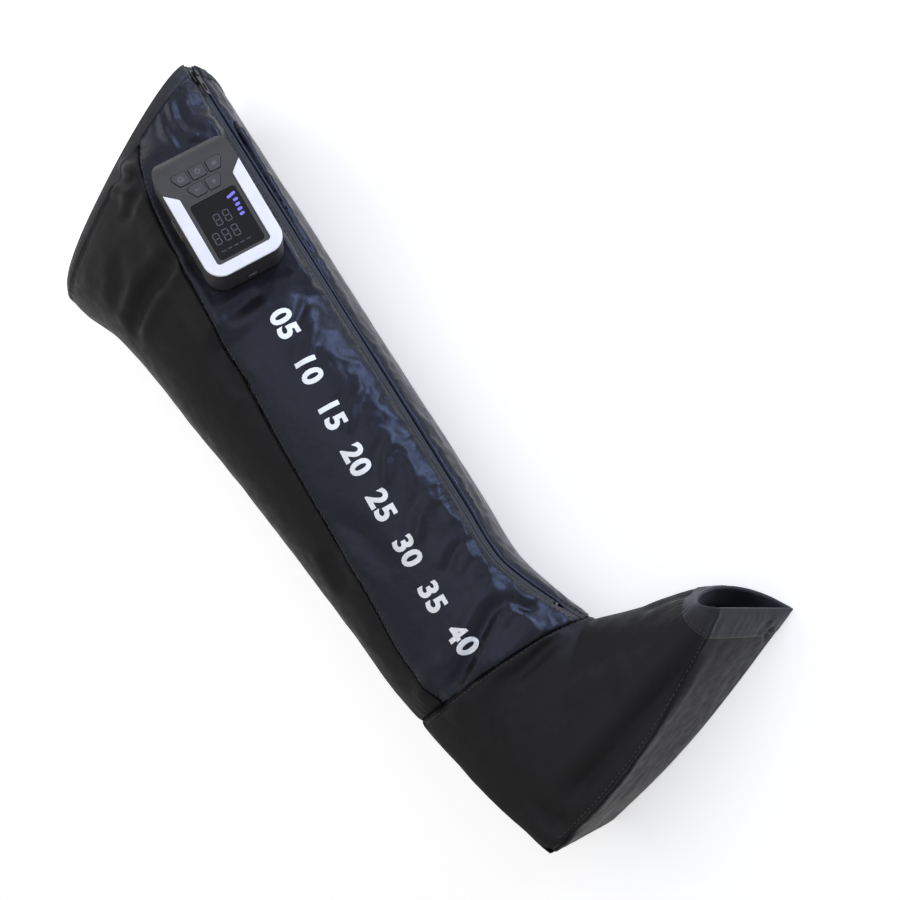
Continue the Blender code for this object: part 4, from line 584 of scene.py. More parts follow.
def fold_relief(where):
    """Height that the drawn folds add at points of the sleeve."""
    total = np.zeros(len(where))
    for line, width, depth in FOLDS:
        knots = np.array(line, float)
        share = np.linspace(0, 1, 40)
        steps = np.linspace(0, 1, len(knots))
        path = points(np.interp(share, steps, knots[:, 0]), np.radians(np.interp(share, steps, knots[:, 1])))
        gaps = np.linalg.norm(where[:, None] - path[None], axis=2)
        nearest = gaps.argmin(1)
        gap = gaps[np.arange(len(where)), nearest]
        fade = ease(np.minimum(share, 1 - share)[nearest] * 3.5 + 0.12)
        hollow = bell(gap, width) - 0.4 * bell(gap / width - 1.9, 1)
        total -= depth * fade * hollow
    return total


def pucker(run, gap, height, pitch, reach, seed):
    """Small gathers along a seam: run is the way along it and gap the distance from it."""
    wander = noise_field(np.stack((run, gap * 0.3, run * 0), 1), 1 / (pitch * 3), seed=seed)
    waves = np.sin(2 * pi * (run / pitch + 1.6 * wander))
    strength = 0.55 + 0.45 * noise_field(np.stack((run, run * 0, run * 0), 1), 1 / (pitch * 5), seed=seed + 7)
    return height * waves * strength * np.exp(-gap / reach)


def creased(where, scale, stretch, seed, sharpness):
    """Noise that comes to a ridge, 1 at most."""
    return 1 - np.abs(noise_field(where, scale, stretch, seed)) * sharpness


def relief(place, angle, where):
    """How far the fabric stands out from the loft at each point."""
    turn = (angle + pi) % (2 * pi) - pi
    step = NORMAL_STEP
    around_speed = lengths(points(place, angle + step) - points(place, angle - step)) / (2 * step)
    along_speed = lengths(points(place + step, angle) - points(place - step, angle)) / (2 * step)
    zip_gap = lengths(where - points(place, 0.0))
    leg = clamp01((SEAM - place) * 20)
    foot = 1 - leg
    long_gap = np.abs(np.abs(turn) - seam_angles(place)) * around_speed
    sole_gap = np.abs(np.abs(turn) - (pi - SOLE_HALF_ANGLE)) * around_speed
    end_gap = np.abs(place - SEAM) * along_speed
    rim_gap, toe_gap = place * along_speed, (TOE - place) * along_speed
    run = where[:, 1] + where[:, 0] * 0.3
    # Seams: each panel swells away from them, and each seam lies in a narrow dip
    side_gap = np.where(leg > 0.5, long_gap, np.where(place < HEEL, end_gap, sole_gap))
    seam_gap = np.minimum(side_gap, end_gap)
    height = (1 - np.exp(-seam_gap / PUFF_REACH)) * PUFF - SEAM_DIP * bell(seam_gap, SEAM_DIP_WIDTH)
    height += leg * pucker(run, long_gap, *SIDE_GATHERS)
    height += pucker(turn * GIRTH_RADIUS, end_gap, *ANKLE_GATHERS)
    height += foot * pucker(where[:, 0] + where[:, 1] * 0.3, sole_gap, *SOLE_GATHERS)
    # The sole's seam stands up as a thin edge
    height += foot * clamp01((place - HEEL) * 4) * SOLE_EDGE * bell(sole_gap - 0.002, SOLE_EDGE)
    # Hems
    for gap, seed in ((rim_gap, 11), (toe_gap, 13)):
        height -= HEM_DIP * bell(gap - HEM_WIDTH, HEM_DIP_WIDTH)
        height += pucker(turn * GIRTH_RADIUS, np.abs(gap - HEM_WIDTH), *HEM_GATHERS, seed)
    # Crinkles beside the zip's stitched edge, strongest on the upper side
    beyond = np.maximum(zip_gap - STITCH_OFFSET, 0)
    band = leg * np.where(turn > 0, 1.0, 0.7) * bell(beyond, CRINKLE_REACH) * clamp01(beyond / 0.003)
    sharp, facets = creased(where, *CRINKLES), creased(where, *FACETS)
    broad = noise_field(where, *CRINKLE_PATCHES)
    height += band * CRINKLE_HEIGHT * sharp * clamp01(0.6 + broad)
    height += band * FACET_HEIGHT * facets * clamp01(0.4 + sharp)
    height += band * pucker(run, beyond, *ZIP_GATHERS)
    # Slack all over: broad swells, long soft creases and a fine unevenness
    for swell, scale, stretch, seed in SLACK:
        height += swell * noise_field(where, scale, (1, stretch, 1), seed)
    patches = clamp01(0.45 + noise_field(where, *CREASE_PATCHES))
    height += CREASE_HEIGHT * creased(where, *CREASES) * patches
    height += fold_relief(where)
    # Nothing moves where the zip, the dock, the rims or the table hold the fabric
    calm = np.where(leg > 0.5, clamp01((zip_gap - ZIP_WINDOW) / ZIP_HOLD) * leg + foot, 1)
    local = (where - FRAME_SHIFT - DOCK_PLACE) @ DOCK_TURNED
    off_dock = np.maximum(np.abs(local[:, 0]) - CASE_WIDTH / 2, np.abs(local[:, 1]) - CASE_LENGTH / 2)
    calm *= np.where(np.abs(local[:, 2]) < FLAT_REACH, ease((off_dock - 0.001) / DOCK_HOLD), 1)
    calm *= ease(rim_gap / RIM_HOLD) * ease(toe_gap / RIM_HOLD)
    calm *= ease((where[:, 2] - 0.002) / TABLE_HOLD) * 0.9 + 0.1
    return height * calm


def skin_points(place, angle, lift=0.0):
    """Points of the finished outer face, lift above it."""
    place, angle = np.broadcast_arrays(np.asarray(place, float), np.asarray(angle, float))
    where = points(place, angle)
    out = outward(place, angle)
    made = where + out * (relief(place, angle, where) + lift)[:, None]
    made[:, 2] = np.maximum(made[:, 2], FIT + lift * 0.5)
    return made


# Building meshes


def in_scene(name, data):
    obj = bpy.data.objects.new(name, data)
    bpy.context.scene.collection.objects.link(obj)
    return obj


def mesh_from(name, vertices, faces):
    mesh = bpy.data.meshes.new(name)
    mesh.from_pydata(vertices, [], faces)
    return mesh


def evaluated_mesh(obj):
    """A new mesh of an object as its modifiers or its text leave it."""
    bpy.context.view_layer.update()
    return bpy.data.meshes.new_from_object(obj.evaluated_get(bpy.context.evaluated_depsgraph_get()))


def new_object(name, mesh, shade, body="sleeve"):
    """A piece of the scene that rides on a body and takes its finish from its material's slot."""
    obj = in_scene(name, mesh)
    mesh.materials.append(shade)
    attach(obj, body)
    return obj


def even_places(low, high, step, angle):
    """Places from low to high at even steps along the sleeve at an angle."""
    fine = np.linspace(low, high, 400)
    run = run_along(points(fine, angle))
    count = max(int(round(run[-1] / step)), 2)
    return np.interp(np.linspace(0, run[-1], count + 1), run, fine)


def grid_quads(rows, columns, closed=False):
    index = np.arange(rows * columns).reshape(rows, columns)
    if closed:
        index = np.hstack((index, index[:, :1]))
    return index, corners_of(index).reshape(-1, 4)


def corners_of(grid):
    """The four corners of each cell of a grid, in order round it."""
    return np.stack((grid[:-1, :-1], grid[:-1, 1:], grid[1:, 1:], grid[1:, :-1]), 2)


def grid_mesh(name, grid, closed=False):
    """A quad mesh through a grid of points, with UVs in metres along its middle row and column."""
    rows, columns = grid.shape[:2]
    along, around = run_along(grid[:, columns // 2]), run_along(grid[rows // 2])
    if closed:
        around = np.append(around, around[-1] * columns / (columns - 1))
    mesh = mesh_from(name, grid.reshape(-1, 3).tolist(), grid_quads(rows, columns, closed)[1].tolist())
    corners = corners_of(np.stack(np.meshgrid(around, along), -1))
    mesh.uv_layers.new(name="weave").data.foreach_set("uv", corners.reshape(-1).astype(np.float32))
    mesh.shade_smooth()
    return mesh


def thicken(obj, thickness):
    made = obj.modifiers.new("thickness", "SOLIDIFY")
    made.thickness = thickness
    made.offset = -1.0


def angle_grid(places, low, high, columns, closed):
    """Places and angles of a grid between two angle functions, flattened, and the grid's shape."""
    share = np.linspace(0, 1, columns + 1)
    share = share[:-1] if closed else share
    lows, highs = low(places), high(places)
    angles = lows[:, None] + (highs - lows)[:, None] * share
    return np.repeat(places, len(share)), angles.reshape(-1), (len(places), len(share), 3)


def panel(name, node, places, low, high, width, shade):
    """A fabric panel between two angle functions, with all the relief."""
    spread, angles, shape = angle_grid(places, low, high, count_at(width), False)
    obj = new_object(name, grid_mesh(name, skin_points(spread, angles).reshape(shape)), shade)
    thicken(obj, FABRIC)
    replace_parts(obj, node)


def fixed(angle):
    return lambda places: np.full(len(places), angle)


# The panels

STEP = 0.0026
SEAM_GAP_SHARE = 0.004
HEEL_GAP_SHARE = 0.006
SEAM_GAP_ANGLE = radians(0.12)
CLOSING = ZIP_CLOSED - ZIP_END


def window_edge(place, side):
    """Angle of the fabric's edge at the zip, on the upper side (1) or the lower side (-1)."""
    closing = clamp01((place - ZIP_END) / CLOSING)
    gaps = ZIP_WINDOW + (COIL_GAP / 2 - ZIP_WINDOW) * closing
    middle = plain_points(place, 0.0)[:, 2]
    return side * widest_angle(len(place), pi / 4,
                               lambda angle: np.abs(plain_points(place, side * angle)[:, 2] - middle) < gaps)


def count_at(width):
    return max(int(round(width / STEP)), 4)


def fabric_panels():
    """The outer fabric of the leg and of the foot, panel by panel."""
    gap = SEAM_GAP_ANGLE
    leg = even_places(RIM, SEAM - SEAM_GAP_SHARE, STEP, 0.9)
    leg = np.sort(np.append(leg, (ZIP_END, ZIP_CLOSED)))
    panel("printed_front", "print_panel", leg, lambda p: window_edge(p, 1) + gap,
          lambda p: seam_angles(p) - gap, 0.21, NAVY)
    panel("back_fabric", "back_panel", leg, lambda p: seam_angles(p) + gap,
          lambda p: 2 * pi - seam_angles(p) - gap, 0.34, BLACK)
    panel("zip_side_fabric", "zip_side_panel", leg, lambda p: 2 * pi - seam_angles(p) + gap,
          lambda p: 2 * pi + window_edge(p, -1) - gap, 0.17, NAVY)
    edge = pi - SOLE_HALF_ANGLE
    foot = even_places(SEAM + SEAM_GAP_SHARE, TOE, STEP, 0.8)
    heel = even_places(SEAM + SEAM_GAP_SHARE, HEEL - HEEL_GAP_SHARE, STEP, pi)
    sole = even_places(HEEL + HEEL_GAP_SHARE, TOE, STEP, pi)
    for name, node, places, low, high, width in (
            ("foot_side", "foot_side_outer", foot, 0, edge, 0.17),
            ("foot_under_side", "foot_side_inner", foot, 2 * pi - edge, 2 * pi, 0.17),
            ("heel_strip", "heel_panel", heel, edge, 2 * pi - edge, 0.10),
            ("sole", "sole_gusset", sole, edge, 2 * pi - edge, 0.10)):
        panel(name, node, places, fixed(low + gap), fixed(high - gap), width, BLACK)


def lining_depth(place):
    share = np.minimum(place - RIM, TOE - place) / LINING_TAPER_SHARE
    return LINING_EDGE_DEPTH + (LINING_DEPTH - LINING_EDGE_DEPTH) * clamp01(share)


def lining(name, node, low, high, low_angle, high_angle, closed):
    """The inner skin, loosely gathered."""
    places = even_places(low, high, 2 * STEP, 0.9)
    spread, angle, shape = angle_grid(places, low_angle, high_angle, count_at(0.6) // 2, closed)
    depth = lining_depth(spread)
    where = points(spread, angle, depth)
    slack = sum(swell * noise_field(where, scale, (1, stretch, 1), seed)
                for swell, scale, stretch, seed in LINING_SLACK)
    slack *= clamp01((depth - LINING_EDGE_DEPTH) / 0.006)
    where = where + outward(spread, angle) * slack[:, None]
    where[:, 2] = np.maximum(where[:, 2], depth * 0.8)
    obj = new_object(name, grid_mesh(name, where.reshape(shape), closed), LINING)
    thicken(obj, FABRIC)
    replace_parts(obj, node)


def linings():
    lining("leg_inner_skin", "leg_lining", RIM, SEAM - SEAM_GAP_SHARE, lambda p: window_edge(p, 1),
           lambda p: 2 * pi + window_edge(p, -1), False)
    lining("foot_inner_skin", "foot_lining", SEAM + SEAM_GAP_SHARE, TOE, fixed(0.0), fixed(2 * pi), True)


# Hems, stitches and the zip

HEM_LIFT = 0.0006
HEM_FOLD = 0.0006
STITCH_LENGTH = 0.0036
STITCH_PITCH = 0.0054
STITCH_RADIUS = 0.00042
STITCH_SIDES = 6
HEM_STITCH_INSET = 0.0125
SEAM_STITCH_TURN = 0.028
SOLE_STITCH_TURN = 0.05
ANKLE_STITCH_PLACE = 0.11
CHAMBER_STITCH_OFFSET = 0.030
CHAMBER_STITCH_PITCH = 0.0075
# A stitch's rings: share of its length, share of its radius
STITCH_PROFILE = ((0, 0.35), (0.18, 1), (0.82, 1), (1, 0.35))
TAPE_THICKNESS = 0.0006
TOOTH_PITCH = 0.0016
# A tooth's outline: distance from the zip's middle, height, share of half the pitch
TOOTH_PROFILE = (
    (0.0035, -0.0018, 0.42), (0.0033, -0.0008, 0.42), (0.0020, -0.0004, 0.44), (0.0006, -0.0004, 0.46),
    (-0.0004, -0.0008, 0.52), (-0.0004, -0.0016, 0.52), (0.0006, -0.0024, 0.44), (0.0033, -0.0024, 0.42),
)


def hem(name, node, rim, inward, low, high, closed):
    """A tape folded over the raw edge, following the fabric's own face."""
    turns = np.linspace(low, high, count_at(0.66) + 1)
    turns = turns[:-1] if closed else turns
    pace = np.linalg.norm(points(rim, 0.9)[0] - points(rim + inward * 0.05, 0.9)[0]) / 0.05
    inner = LINING_EDGE_DEPTH + FABRIC
    # How far in from the rim, and how far out from the face; the first is measured inside the lining
    profile = ((0.010, None), (-0.0004, -inner), (-0.0014, -inner * 0.6), (-0.0017, -0.0004),
               (-0.0013, 0.0008), (0.0, HEM_LIFT), (0.003, HEM_LIFT + 0.0003), (0.008, HEM_LIFT + 0.0002),
               (0.0138, HEM_LIFT), (HEM_WIDTH, 0.0002))
    rows = []
    for run, lift in profile:
        place = np.full(len(turns), rim + inward * run / pace)
        if lift is None:
            row = points(place, turns, inner + 0.0006)
        elif run <= 0:
            row = points(place, turns, 0.0) + outward(place, turns) * lift
        else:
            row = skin_points(place, turns, lift)
        row[:, 2] = np.maximum(row[:, 2], FIT)
        rows.append(row)
    obj = new_object(name, grid_mesh(name, np.array(rows[::inward]), closed), HEM)
    thicken(obj, HEM_FOLD)
    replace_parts(obj, node)
    return pace


def loft_mesh(name, bodies):
    """A mesh of closed bodies, each a list of rings with equally many points."""
    vertices, faces = [], []
    for rings in bodies:
        base, sides = len(vertices), len(rings[0])
        vertices += [tuple(v) for ring in rings for v in ring]
        last = base + (len(rings) - 1) * sides
        for first in range(base, last, sides):
            for i in range(sides):
                j = (i + 1) % sides
                faces.append((first + i, first + j, first + sides + j, first + sides + i))
        faces.append(tuple(reversed(range(base, base + sides))))
        faces.append(tuple(range(last, last + sides)))
    return mesh_from(name, vertices, faces)


def stitch_along(name, places, angles, lift=0.0004, pitch=STITCH_PITCH):
    """Stitches on the fabric's face: one small thread capsule per pitch, sunk at both ends."""
    line, lifts = skin_points(places, angles, lift), outward(places, angles)
    run = run_along(line)
    bodies = []

    def along(table, at):
        return np.array([np.interp(at, run, table[:, i]) for i in range(3)])

    for start in np.arange(pitch / 2, run[-1] - pitch, pitch):
        rings = []
        for share, size in STITCH_PROFILE:
            at = start + share * STITCH_LENGTH
            centre, out = along(line, at), along(lifts, at)
            side = np.cross(out, along(line, at + 0.0005) - centre)
            side /= np.linalg.norm(side) + 1e-12
            sink = 0.0 if size == 1 else -STITCH_RADIUS * 1.2
            rings.append([centre + out * (sink + STITCH_RADIUS * 0.6 * size * sin(turn))
                          + side * STITCH_RADIUS * size * cos(turn)
                          for turn in np.linspace(0, 2 * pi, STITCH_SIDES, endpoint=False)])
        bodies.append(rings)
    mesh = loft_mesh(name, bodies)
    mesh.shade_smooth()
    new_object(name, mesh, THREAD)


def hems():
    edge = float(window_edge(np.array([0.0]), 1)[0])
    pace = hem("thigh_hem", "top_binding", RIM, 1, edge, 2 * pi - edge, False)
    turns = np.linspace(edge + 0.05, 2 * pi - edge - 0.05, 700)
    stitch_along("thigh_hem_stitches", RIM + HEM_STITCH_INSET / pace + turns * 0, turns, HEM_LIFT)
    pace = hem("toe_hem", "toe_binding", TOE, -1, 0.0, 2 * pi, True)
    turns = np.linspace(0, 2 * pi, 700)
    stitch_along("toe_hem_stitches", TOE - HEM_STITCH_INSET / pace + turns * 0, turns, HEM_LIFT)


def beside_zip(place, offset):
    """Angles that lie offset metres from the zip's middle line, below 0 for the lower side."""
    side = 1 if offset > 0 else -1
    middle = points(place, 0.0)
    return side * widest_angle(len(place), pi / 3,
                               lambda angle: lengths(points(place, side * angle) - middle) < abs(offset))


def seam_stitches():
    leg = np.linspace(0.15, SEAM - 0.1, 900)
    stitch_along("zip_stitches_upper", leg, beside_zip(leg, STITCH_OFFSET))
    stitch_along("zip_stitches_lower", leg, beside_zip(leg, -STITCH_OFFSET))
    stitch_along("front_seam_stitches", leg, seam_angles(leg) - SEAM_STITCH_TURN)
    top = np.linspace(0.35, 1.12, 120)
    stitch_along("chamber_stitches_thigh", top, beside_zip(top, CHAMBER_STITCH_OFFSET),
                 pitch=CHAMBER_STITCH_PITCH)
    turns = np.linspace(0.05, 2 * pi - 0.05, 700)
    stitch_along("ankle_seam_stitches", SEAM + ANKLE_STITCH_PLACE + turns * 0, turns)
    foot = np.linspace(HEEL + 0.15, TOE - 0.3, 500)
    stitch_along("sole_stitches", foot, foot * 0 + pi - SOLE_HALF_ANGLE - SOLE_STITCH_TURN)


def zip_frame_at(place):
    """Points and axes on the zip's middle line: along the leg's length, across and out."""
    middle = points(place, 0.0)
    ahead = points(place - 0.02, 0.0) - points(place + 0.02, 0.0)
    ahead /= lengths(ahead)[:, None]
    out = outward(place, place * 0)
    out = out - ahead * (out * ahead).sum(1)[:, None]
    out /= lengths(out)[:, None]
    return middle, ahead, np.cross(ahead, out), out


def zip_tapes():
    """Both woven tapes, each with a raised cord along its coil, and the coils' interlocked teeth."""
    place = even_places(RIM, ZIP_END, STEP, 0.0)
    inner = COIL_GAP / 2 + COIL_WIDTH + FIT
    for side, word in ((1, "outer"), (-1, "inner")):
        rows = []
        for offset, depth in ((inner, 0.0022), (inner + 0.0006, 0.0011), (inner + 0.0014, 0.0012),
                              (inner + 0.0020, 0.0017), (ZIP_WINDOW, 0.0016), (TAPE_HALF_WIDTH, 0.0016)):
            rows.append(points(place, beside_zip(place, side * offset), depth))
        grid = np.array(rows).transpose(1, 0, 2)
        if side < 0:
            grid = grid[:, ::-1]
        name = f"zip_tape_{word}_weave"
        obj = new_object(name, grid_mesh(name, grid), TAPE)
        thicken(obj, TAPE_THICKNESS)
        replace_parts(obj, "zip_tape_" + word)
        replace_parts(teeth("zip_teeth_" + word, side), "zip_coil_" + word)


def teeth(name, side):
    """One side's teeth: a loop of the coil per pitch, from its cord to its head past the middle."""
    fine = np.linspace(RIM + 0.02, ZIP_END, 1500)
    run = run_along(points(fine, 0.0))
    pitch = TOOTH_PITCH * 1
    spots = np.arange(pitch * (0.25 if side > 0 else 0.75), run[-1], pitch)
    place = np.interp(spots, run, fine)
    middle, ahead, across, out = zip_frame_at(place)
    here = points(place, side * 0.05) - middle
    across = across * np.sign((here * across).sum(1))[:, None]
    bodies = [[[at + aside * offset + up * (level - FABRIC / 2) + run_way * end * half * TOOTH_PITCH / 2
                for offset, level, half in TOOTH_PROFILE] for end in (-1, 1)]
              for at, run_way, aside, up in zip(middle, ahead, across, out)]
    return new_object(name, loft_mesh(name, bodies), COIL)


# The controller, in the dock's frame: x across the leg to the zip, y to the hip, z outwards

CASE_WALL = 0.0020
FACE_WALL = 0.0028
ROLL_RADIUS = 0.0160
TRIM_PROUD = 0.0015
TRIM_SEAT = 0.0012
TRIM_ARM = 0.0125
TRIM_ARM_OUTER_Y = 0.0320
TRIM_ARM_INNER_Y = 0.0210
TRIM_CORNER = 0.0035
LENS_WIDTH = 0.048
LENS_LENGTH = 0.062
LENS_RADIUS = 0.0035
LENS_Y = -0.021
LENS_THICKNESS = 0.0012
LENS_RECESS = 0.0003
LENS_LEDGE = 0.0020
KEY_WIDTH = 0.0150
KEY_LENGTH = 0.0130
KEY_RADIUS = 0.0020
KEY_SLANT = 0.0040
KEY_PITCH_X = 0.0180
KEY_PITCH_Y = 0.0165
KEY_ROW_Y = 0.0220
KEY_PROUD = 0.0010
KEY_CLEARANCE = 0.0005
LATCH_Y = 0.0050
LATCH_Z = 0.0110
LATCH_LENGTH = 0.0240
LATCH_HEIGHT = 0.0090
LATCH_PROUD = 0.0016
SOCKET_WIDTH = 0.0090
SOCKET_HEIGHT = 0.0032
SOCKET_Z = 0.0080
BASE = 2 * FIT + DOCK_THICKNESS
FLOOR = BASE + CASE_WALL
SPLIT = BASE + CASE_SPLIT
FACE = BASE + CASE_HEIGHT - TRIM_PROUD
CEILING = FACE - FACE_WALL
OVERRUN = 0.01
MERGE = 1e-6
# Edges turned more than this are rounded, on pieces made here and on CAD nodes
SOFT_LIMIT = radians(35)
NODE_LIMIT = radians(40)
SIGN_HEIGHT = 0.00012
SEGMENT_HEIGHT = 4e-5
RING_HALF_WIDTH = 0.00028
RING_STEPS = 48
DIGIT_SIZE = 0.0115
# Shares of a digit's size: from digit to digit, and a segment's length and width
DIGIT_STEP = 0.86
SEGMENT_LENGTH = 0.42
SEGMENT_WIDTH = 0.085
ARC = 12
# Turns that lay a prism's height across the case and along it
LENGTHWISE = Matrix(((0, 0, 1, 0), (1, 0, 0, 0), (0, 1, 0, 0), (0, 0, 0, 1)))
ENDWISE = Matrix(((1, 0, 0, 0), (0, 0, -1, 0), (0, 1, 0, 0), (0, 0, 0, 1)))


def rounded(corners, radius):
    """A polygon with every corner rounded; radius may be a list, and 0 keeps a corner sharp."""
    radii = radius if isinstance(radius, (list, tuple)) else [radius] * len(corners)
    made = []
    for i, (corner, size) in enumerate(zip(corners, radii)):
        corner = Vector(corner)
        if not size:
            made.append(corner)
            continue
        before = (Vector(corners[i - 1]) - corner).normalized()
        after = (Vector(corners[(i + 1) % len(corners)]) - corner).normalized()
        half = before.angle(after) / 2
        reach = size / tan(half)
        middle = corner + (before + after).normalized() * (size / sin(half))
        start, end = corner + before * reach - middle, corner + after * reach - middle
        sweep = atan2(start.x * end.y - start.y * end.x, start.dot(end))
        steps = max(int(abs(sweep) / (pi / 2) * ARC), 2)
        for step in range(steps + 1):
            made.append(middle + Matrix.Rotation(sweep * step / steps, 2) @ start)
    return made


def rectangle(width, length, radius, x=0.0, y=0.0):
    corners = [(x - width / 2, y - length / 2), (x + width / 2, y - length / 2),
               (x + width / 2, y + length / 2), (x - width / 2, y + length / 2)]
    return rounded(corners, radius)


def wall_off(bm, foot, top):
    """Closes a prism between two rings of vertices."""
    bm.faces.new(top)
    bm.faces.new(foot[::-1])
    for i in range(len(foot)):
        j = (i + 1) % len(foot)
        bm.faces.new((foot[i], foot[j], top[j], top[i]))


def to_mesh(name, bm):
    mesh = bpy.data.meshes.new(name)
    bm.to_mesh(mesh)
    bm.free()
    return mesh


def prism_mesh(name, outline, low, high, turn=None):
    """A closed prism on an outline."""
    area = sum(a[0] * b[1] - a[1] * b[0] for a, b in zip(outline, outline[1:] + outline[:1]))
    outline = outline if area > 0 else outline[::-1]
    bm = bmesh.new()
    foot, top = ([bm.verts.new((x, y, level)) for x, y in outline] for level in (low, high))
    wall_off(bm, foot, top)
    if turn:
        bmesh.ops.transform(bm, matrix=turn, verts=bm.verts)
    bmesh.ops.recalc_face_normals(bm, faces=bm.faces)
    return to_mesh(name, bm)


def case_piece(name, mesh, shade, body="controller"):
    """A piece whose mesh is drawn in the dock's frame."""
    mesh.materials.clear()
    obj = new_object(name, mesh, shade, body)
    obj.matrix_world = DOCK_WORLD
    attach(obj, body)
    return obj


def prism(name, outline, low, high, shade, body, bevel, turn=None, segments=3):
    """A prism in the dock's frame as a piece of the scene, with rounded edges."""
    mesh = prism_mesh(name, outline, low, high, turn)
    return soften(case_piece(name, mesh, shade, body), bevel, segments)


def round_edges(obj, width, segments, limit):
    made = obj.modifiers.new("rounding", "BEVEL")
    made.width = width
    made.segments = segments
    made.limit_method = "ANGLE"
    made.angle_limit = limit


def soften(obj, width, segments):
    round_edges(obj, width, segments, SOFT_LIMIT)
    obj.data.shade_smooth()
    obj.modifiers.new("normals", "WEIGHTED_NORMAL").keep_sharp = True
    return obj


def boolean(mesh, cutter_mesh, operation="DIFFERENCE"):
    """A new mesh, from one mesh cut by another or common to both."""
    target, cutter = in_scene("target", mesh), in_scene("cutter", cutter_mesh)
    made = target.modifiers.new("cut", "BOOLEAN")
    made.operation = operation
    made.object = cutter
    made.solver = "EXACT"
    result = evaluated_mesh(target)
    result.name = mesh.name
    for obj in (target, cutter):
        bpy.data.objects.remove(obj)
    return result


def cut(mesh, outline, low, high, turn=None):
    return boolean(mesh, prism_mesh("cutter", outline, low, high, turn))


def rolled(name, inset, roll_inset, low, high):
    """A block of the case's outline whose far top edge is rolled off."""
    profile = roll_profile(roll_inset, low - OVERRUN, high)
    roll = prism_mesh("roll", profile, -CASE_WIDTH, CASE_WIDTH, LENGTHWISE)
    return boolean(prism_mesh(name, case_outline(inset), low, high), roll, "INTERSECT")


def case_outline(inset=0.0):
    return rectangle(CASE_WIDTH - 2 * inset, CASE_LENGTH - 2 * inset, CASE_RADIUS - inset)


def roll_profile(inset, low, high):
    end = CASE_LENGTH / 2 - inset
    corners = [(-end - OVERRUN, low), (end, low), (end, high), (-end - OVERRUN, high)]
    return rounded(corners, [0, 0, ROLL_RADIUS - inset, 0])


def trim_outline(clearance=0.0, spill=0.0):
    """The U round the display, open towards the keys, with slanted arm ends."""
    half, end = CASE_WIDTH / 2, CASE_LENGTH / 2
    inner = half - TRIM_ARM - clearance
    floor_y = -end + TRIM_ARM + clearance
    slope = (TRIM_ARM_OUTER_Y - TRIM_ARM_INNER_Y) / TRIM_ARM
    outer_y = TRIM_ARM_OUTER_Y + 2 * clearance + slope * spill
    inner_y = TRIM_ARM_INNER_Y + clearance
    half += spill
    corners = [(-half, -end - spill), (half, -end - spill), (half, outer_y), (inner, inner_y),
               (inner, floor_y), (-inner, floor_y), (-inner, inner_y), (-half, outer_y)]
    outer = 0 if spill else CASE_RADIUS
    return rounded(corners, [outer, outer, 0, *[TRIM_CORNER] * 4, 0])


def key_outlines(grow=0.0):
    half, long = KEY_WIDTH / 2 + grow, KEY_LENGTH / 2 + grow
    radius = KEY_RADIUS + grow

    def slanted(x, y, side):
        corners = [(-half, -long), (half - KEY_SLANT, -long), (half + KEY_SLANT / 4, long / 2),
                   (half - KEY_SLANT / 4, long), (-half, long)]
        placed = [(x + side * a, y + b) for a, b in corners]
        return rounded(placed if side > 0 else placed[::-1], radius)

    near, far = KEY_ROW_Y, KEY_ROW_Y + KEY_PITCH_Y
    step = KEY_PITCH_X
    return {"minus_key": slanted(-step / 2, near, -1), "plus_key": slanted(step / 2, near, 1),
            "timer_key": slanted(-step, far, -1), "power_key": rectangle(2 * half, 2 * long, radius, 0, far),
            "mode_key": slanted(step, far, 1)}


def shells():
    """Both halves of the case, with the parting line between them."""
    low = SPLIT + FIT
    cavity = rolled("cavity", CASE_WALL, FACE_WALL, low - OVERRUN, CEILING)
    mesh = boolean(rolled("upper_case", 0, 0, low, FACE), cavity)
    mesh = cut(mesh, trim_outline(FIT, OVERRUN), FACE - TRIM_SEAT, FACE + OVERRUN)
    lens = rectangle(LENS_WIDTH + 2 * FIT, LENS_LENGTH + 2 * FIT, LENS_RADIUS + FIT, y=LENS_Y)
    mesh = cut(mesh, lens, FACE - LENS_RECESS - LENS_THICKNESS - FIT, FACE + OVERRUN)
    opening = rectangle(LENS_WIDTH - 2 * LENS_LEDGE, LENS_LENGTH - 2 * LENS_LEDGE, LENS_RADIUS / 2,
                        y=LENS_Y)
    mesh = cut(mesh, opening, CEILING - OVERRUN, FACE)
    for outline in key_outlines(KEY_CLEARANCE).values():
        mesh = cut(mesh, outline, CEILING - OVERRUN, FACE + OVERRUN)
    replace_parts(soften(case_piece("upper_case", mesh, CASE), 0.0005, 2), "front_shell")
    mesh = prism_mesh("lower_case", case_outline(), BASE, SPLIT)
    mesh = cut(mesh, case_outline(CASE_WALL), FLOOR, SPLIT + OVERRUN)
    inner = CASE_WIDTH / 2 - 2 * CASE_WALL
    for side in (-1, 1):
        low, high = sorted((side * inner, side * (inner + OVERRUN)))
        mesh = cut(mesh, latch_outline(FIT), low, high, LENGTHWISE)
    window = rectangle(SOCKET_WIDTH + 2 * FIT, SOCKET_HEIGHT + 2 * FIT, SOCKET_HEIGHT / 2, 0, BASE + SOCKET_Z)
    mesh = cut(mesh, window, CASE_LENGTH / 2 - 2 * CASE_WALL, CASE_LENGTH / 2 + OVERRUN, ENDWISE)
    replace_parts(soften(case_piece("lower_case", mesh, CASE), 0.0005, 2), "rear_shell")


def latch_outline(clearance=0.0):
    height = LATCH_HEIGHT + 2 * clearance
    return rectangle(LATCH_LENGTH + 2 * clearance, height, height / 2 - FIT / 2, LATCH_Y, BASE + LATCH_Z)


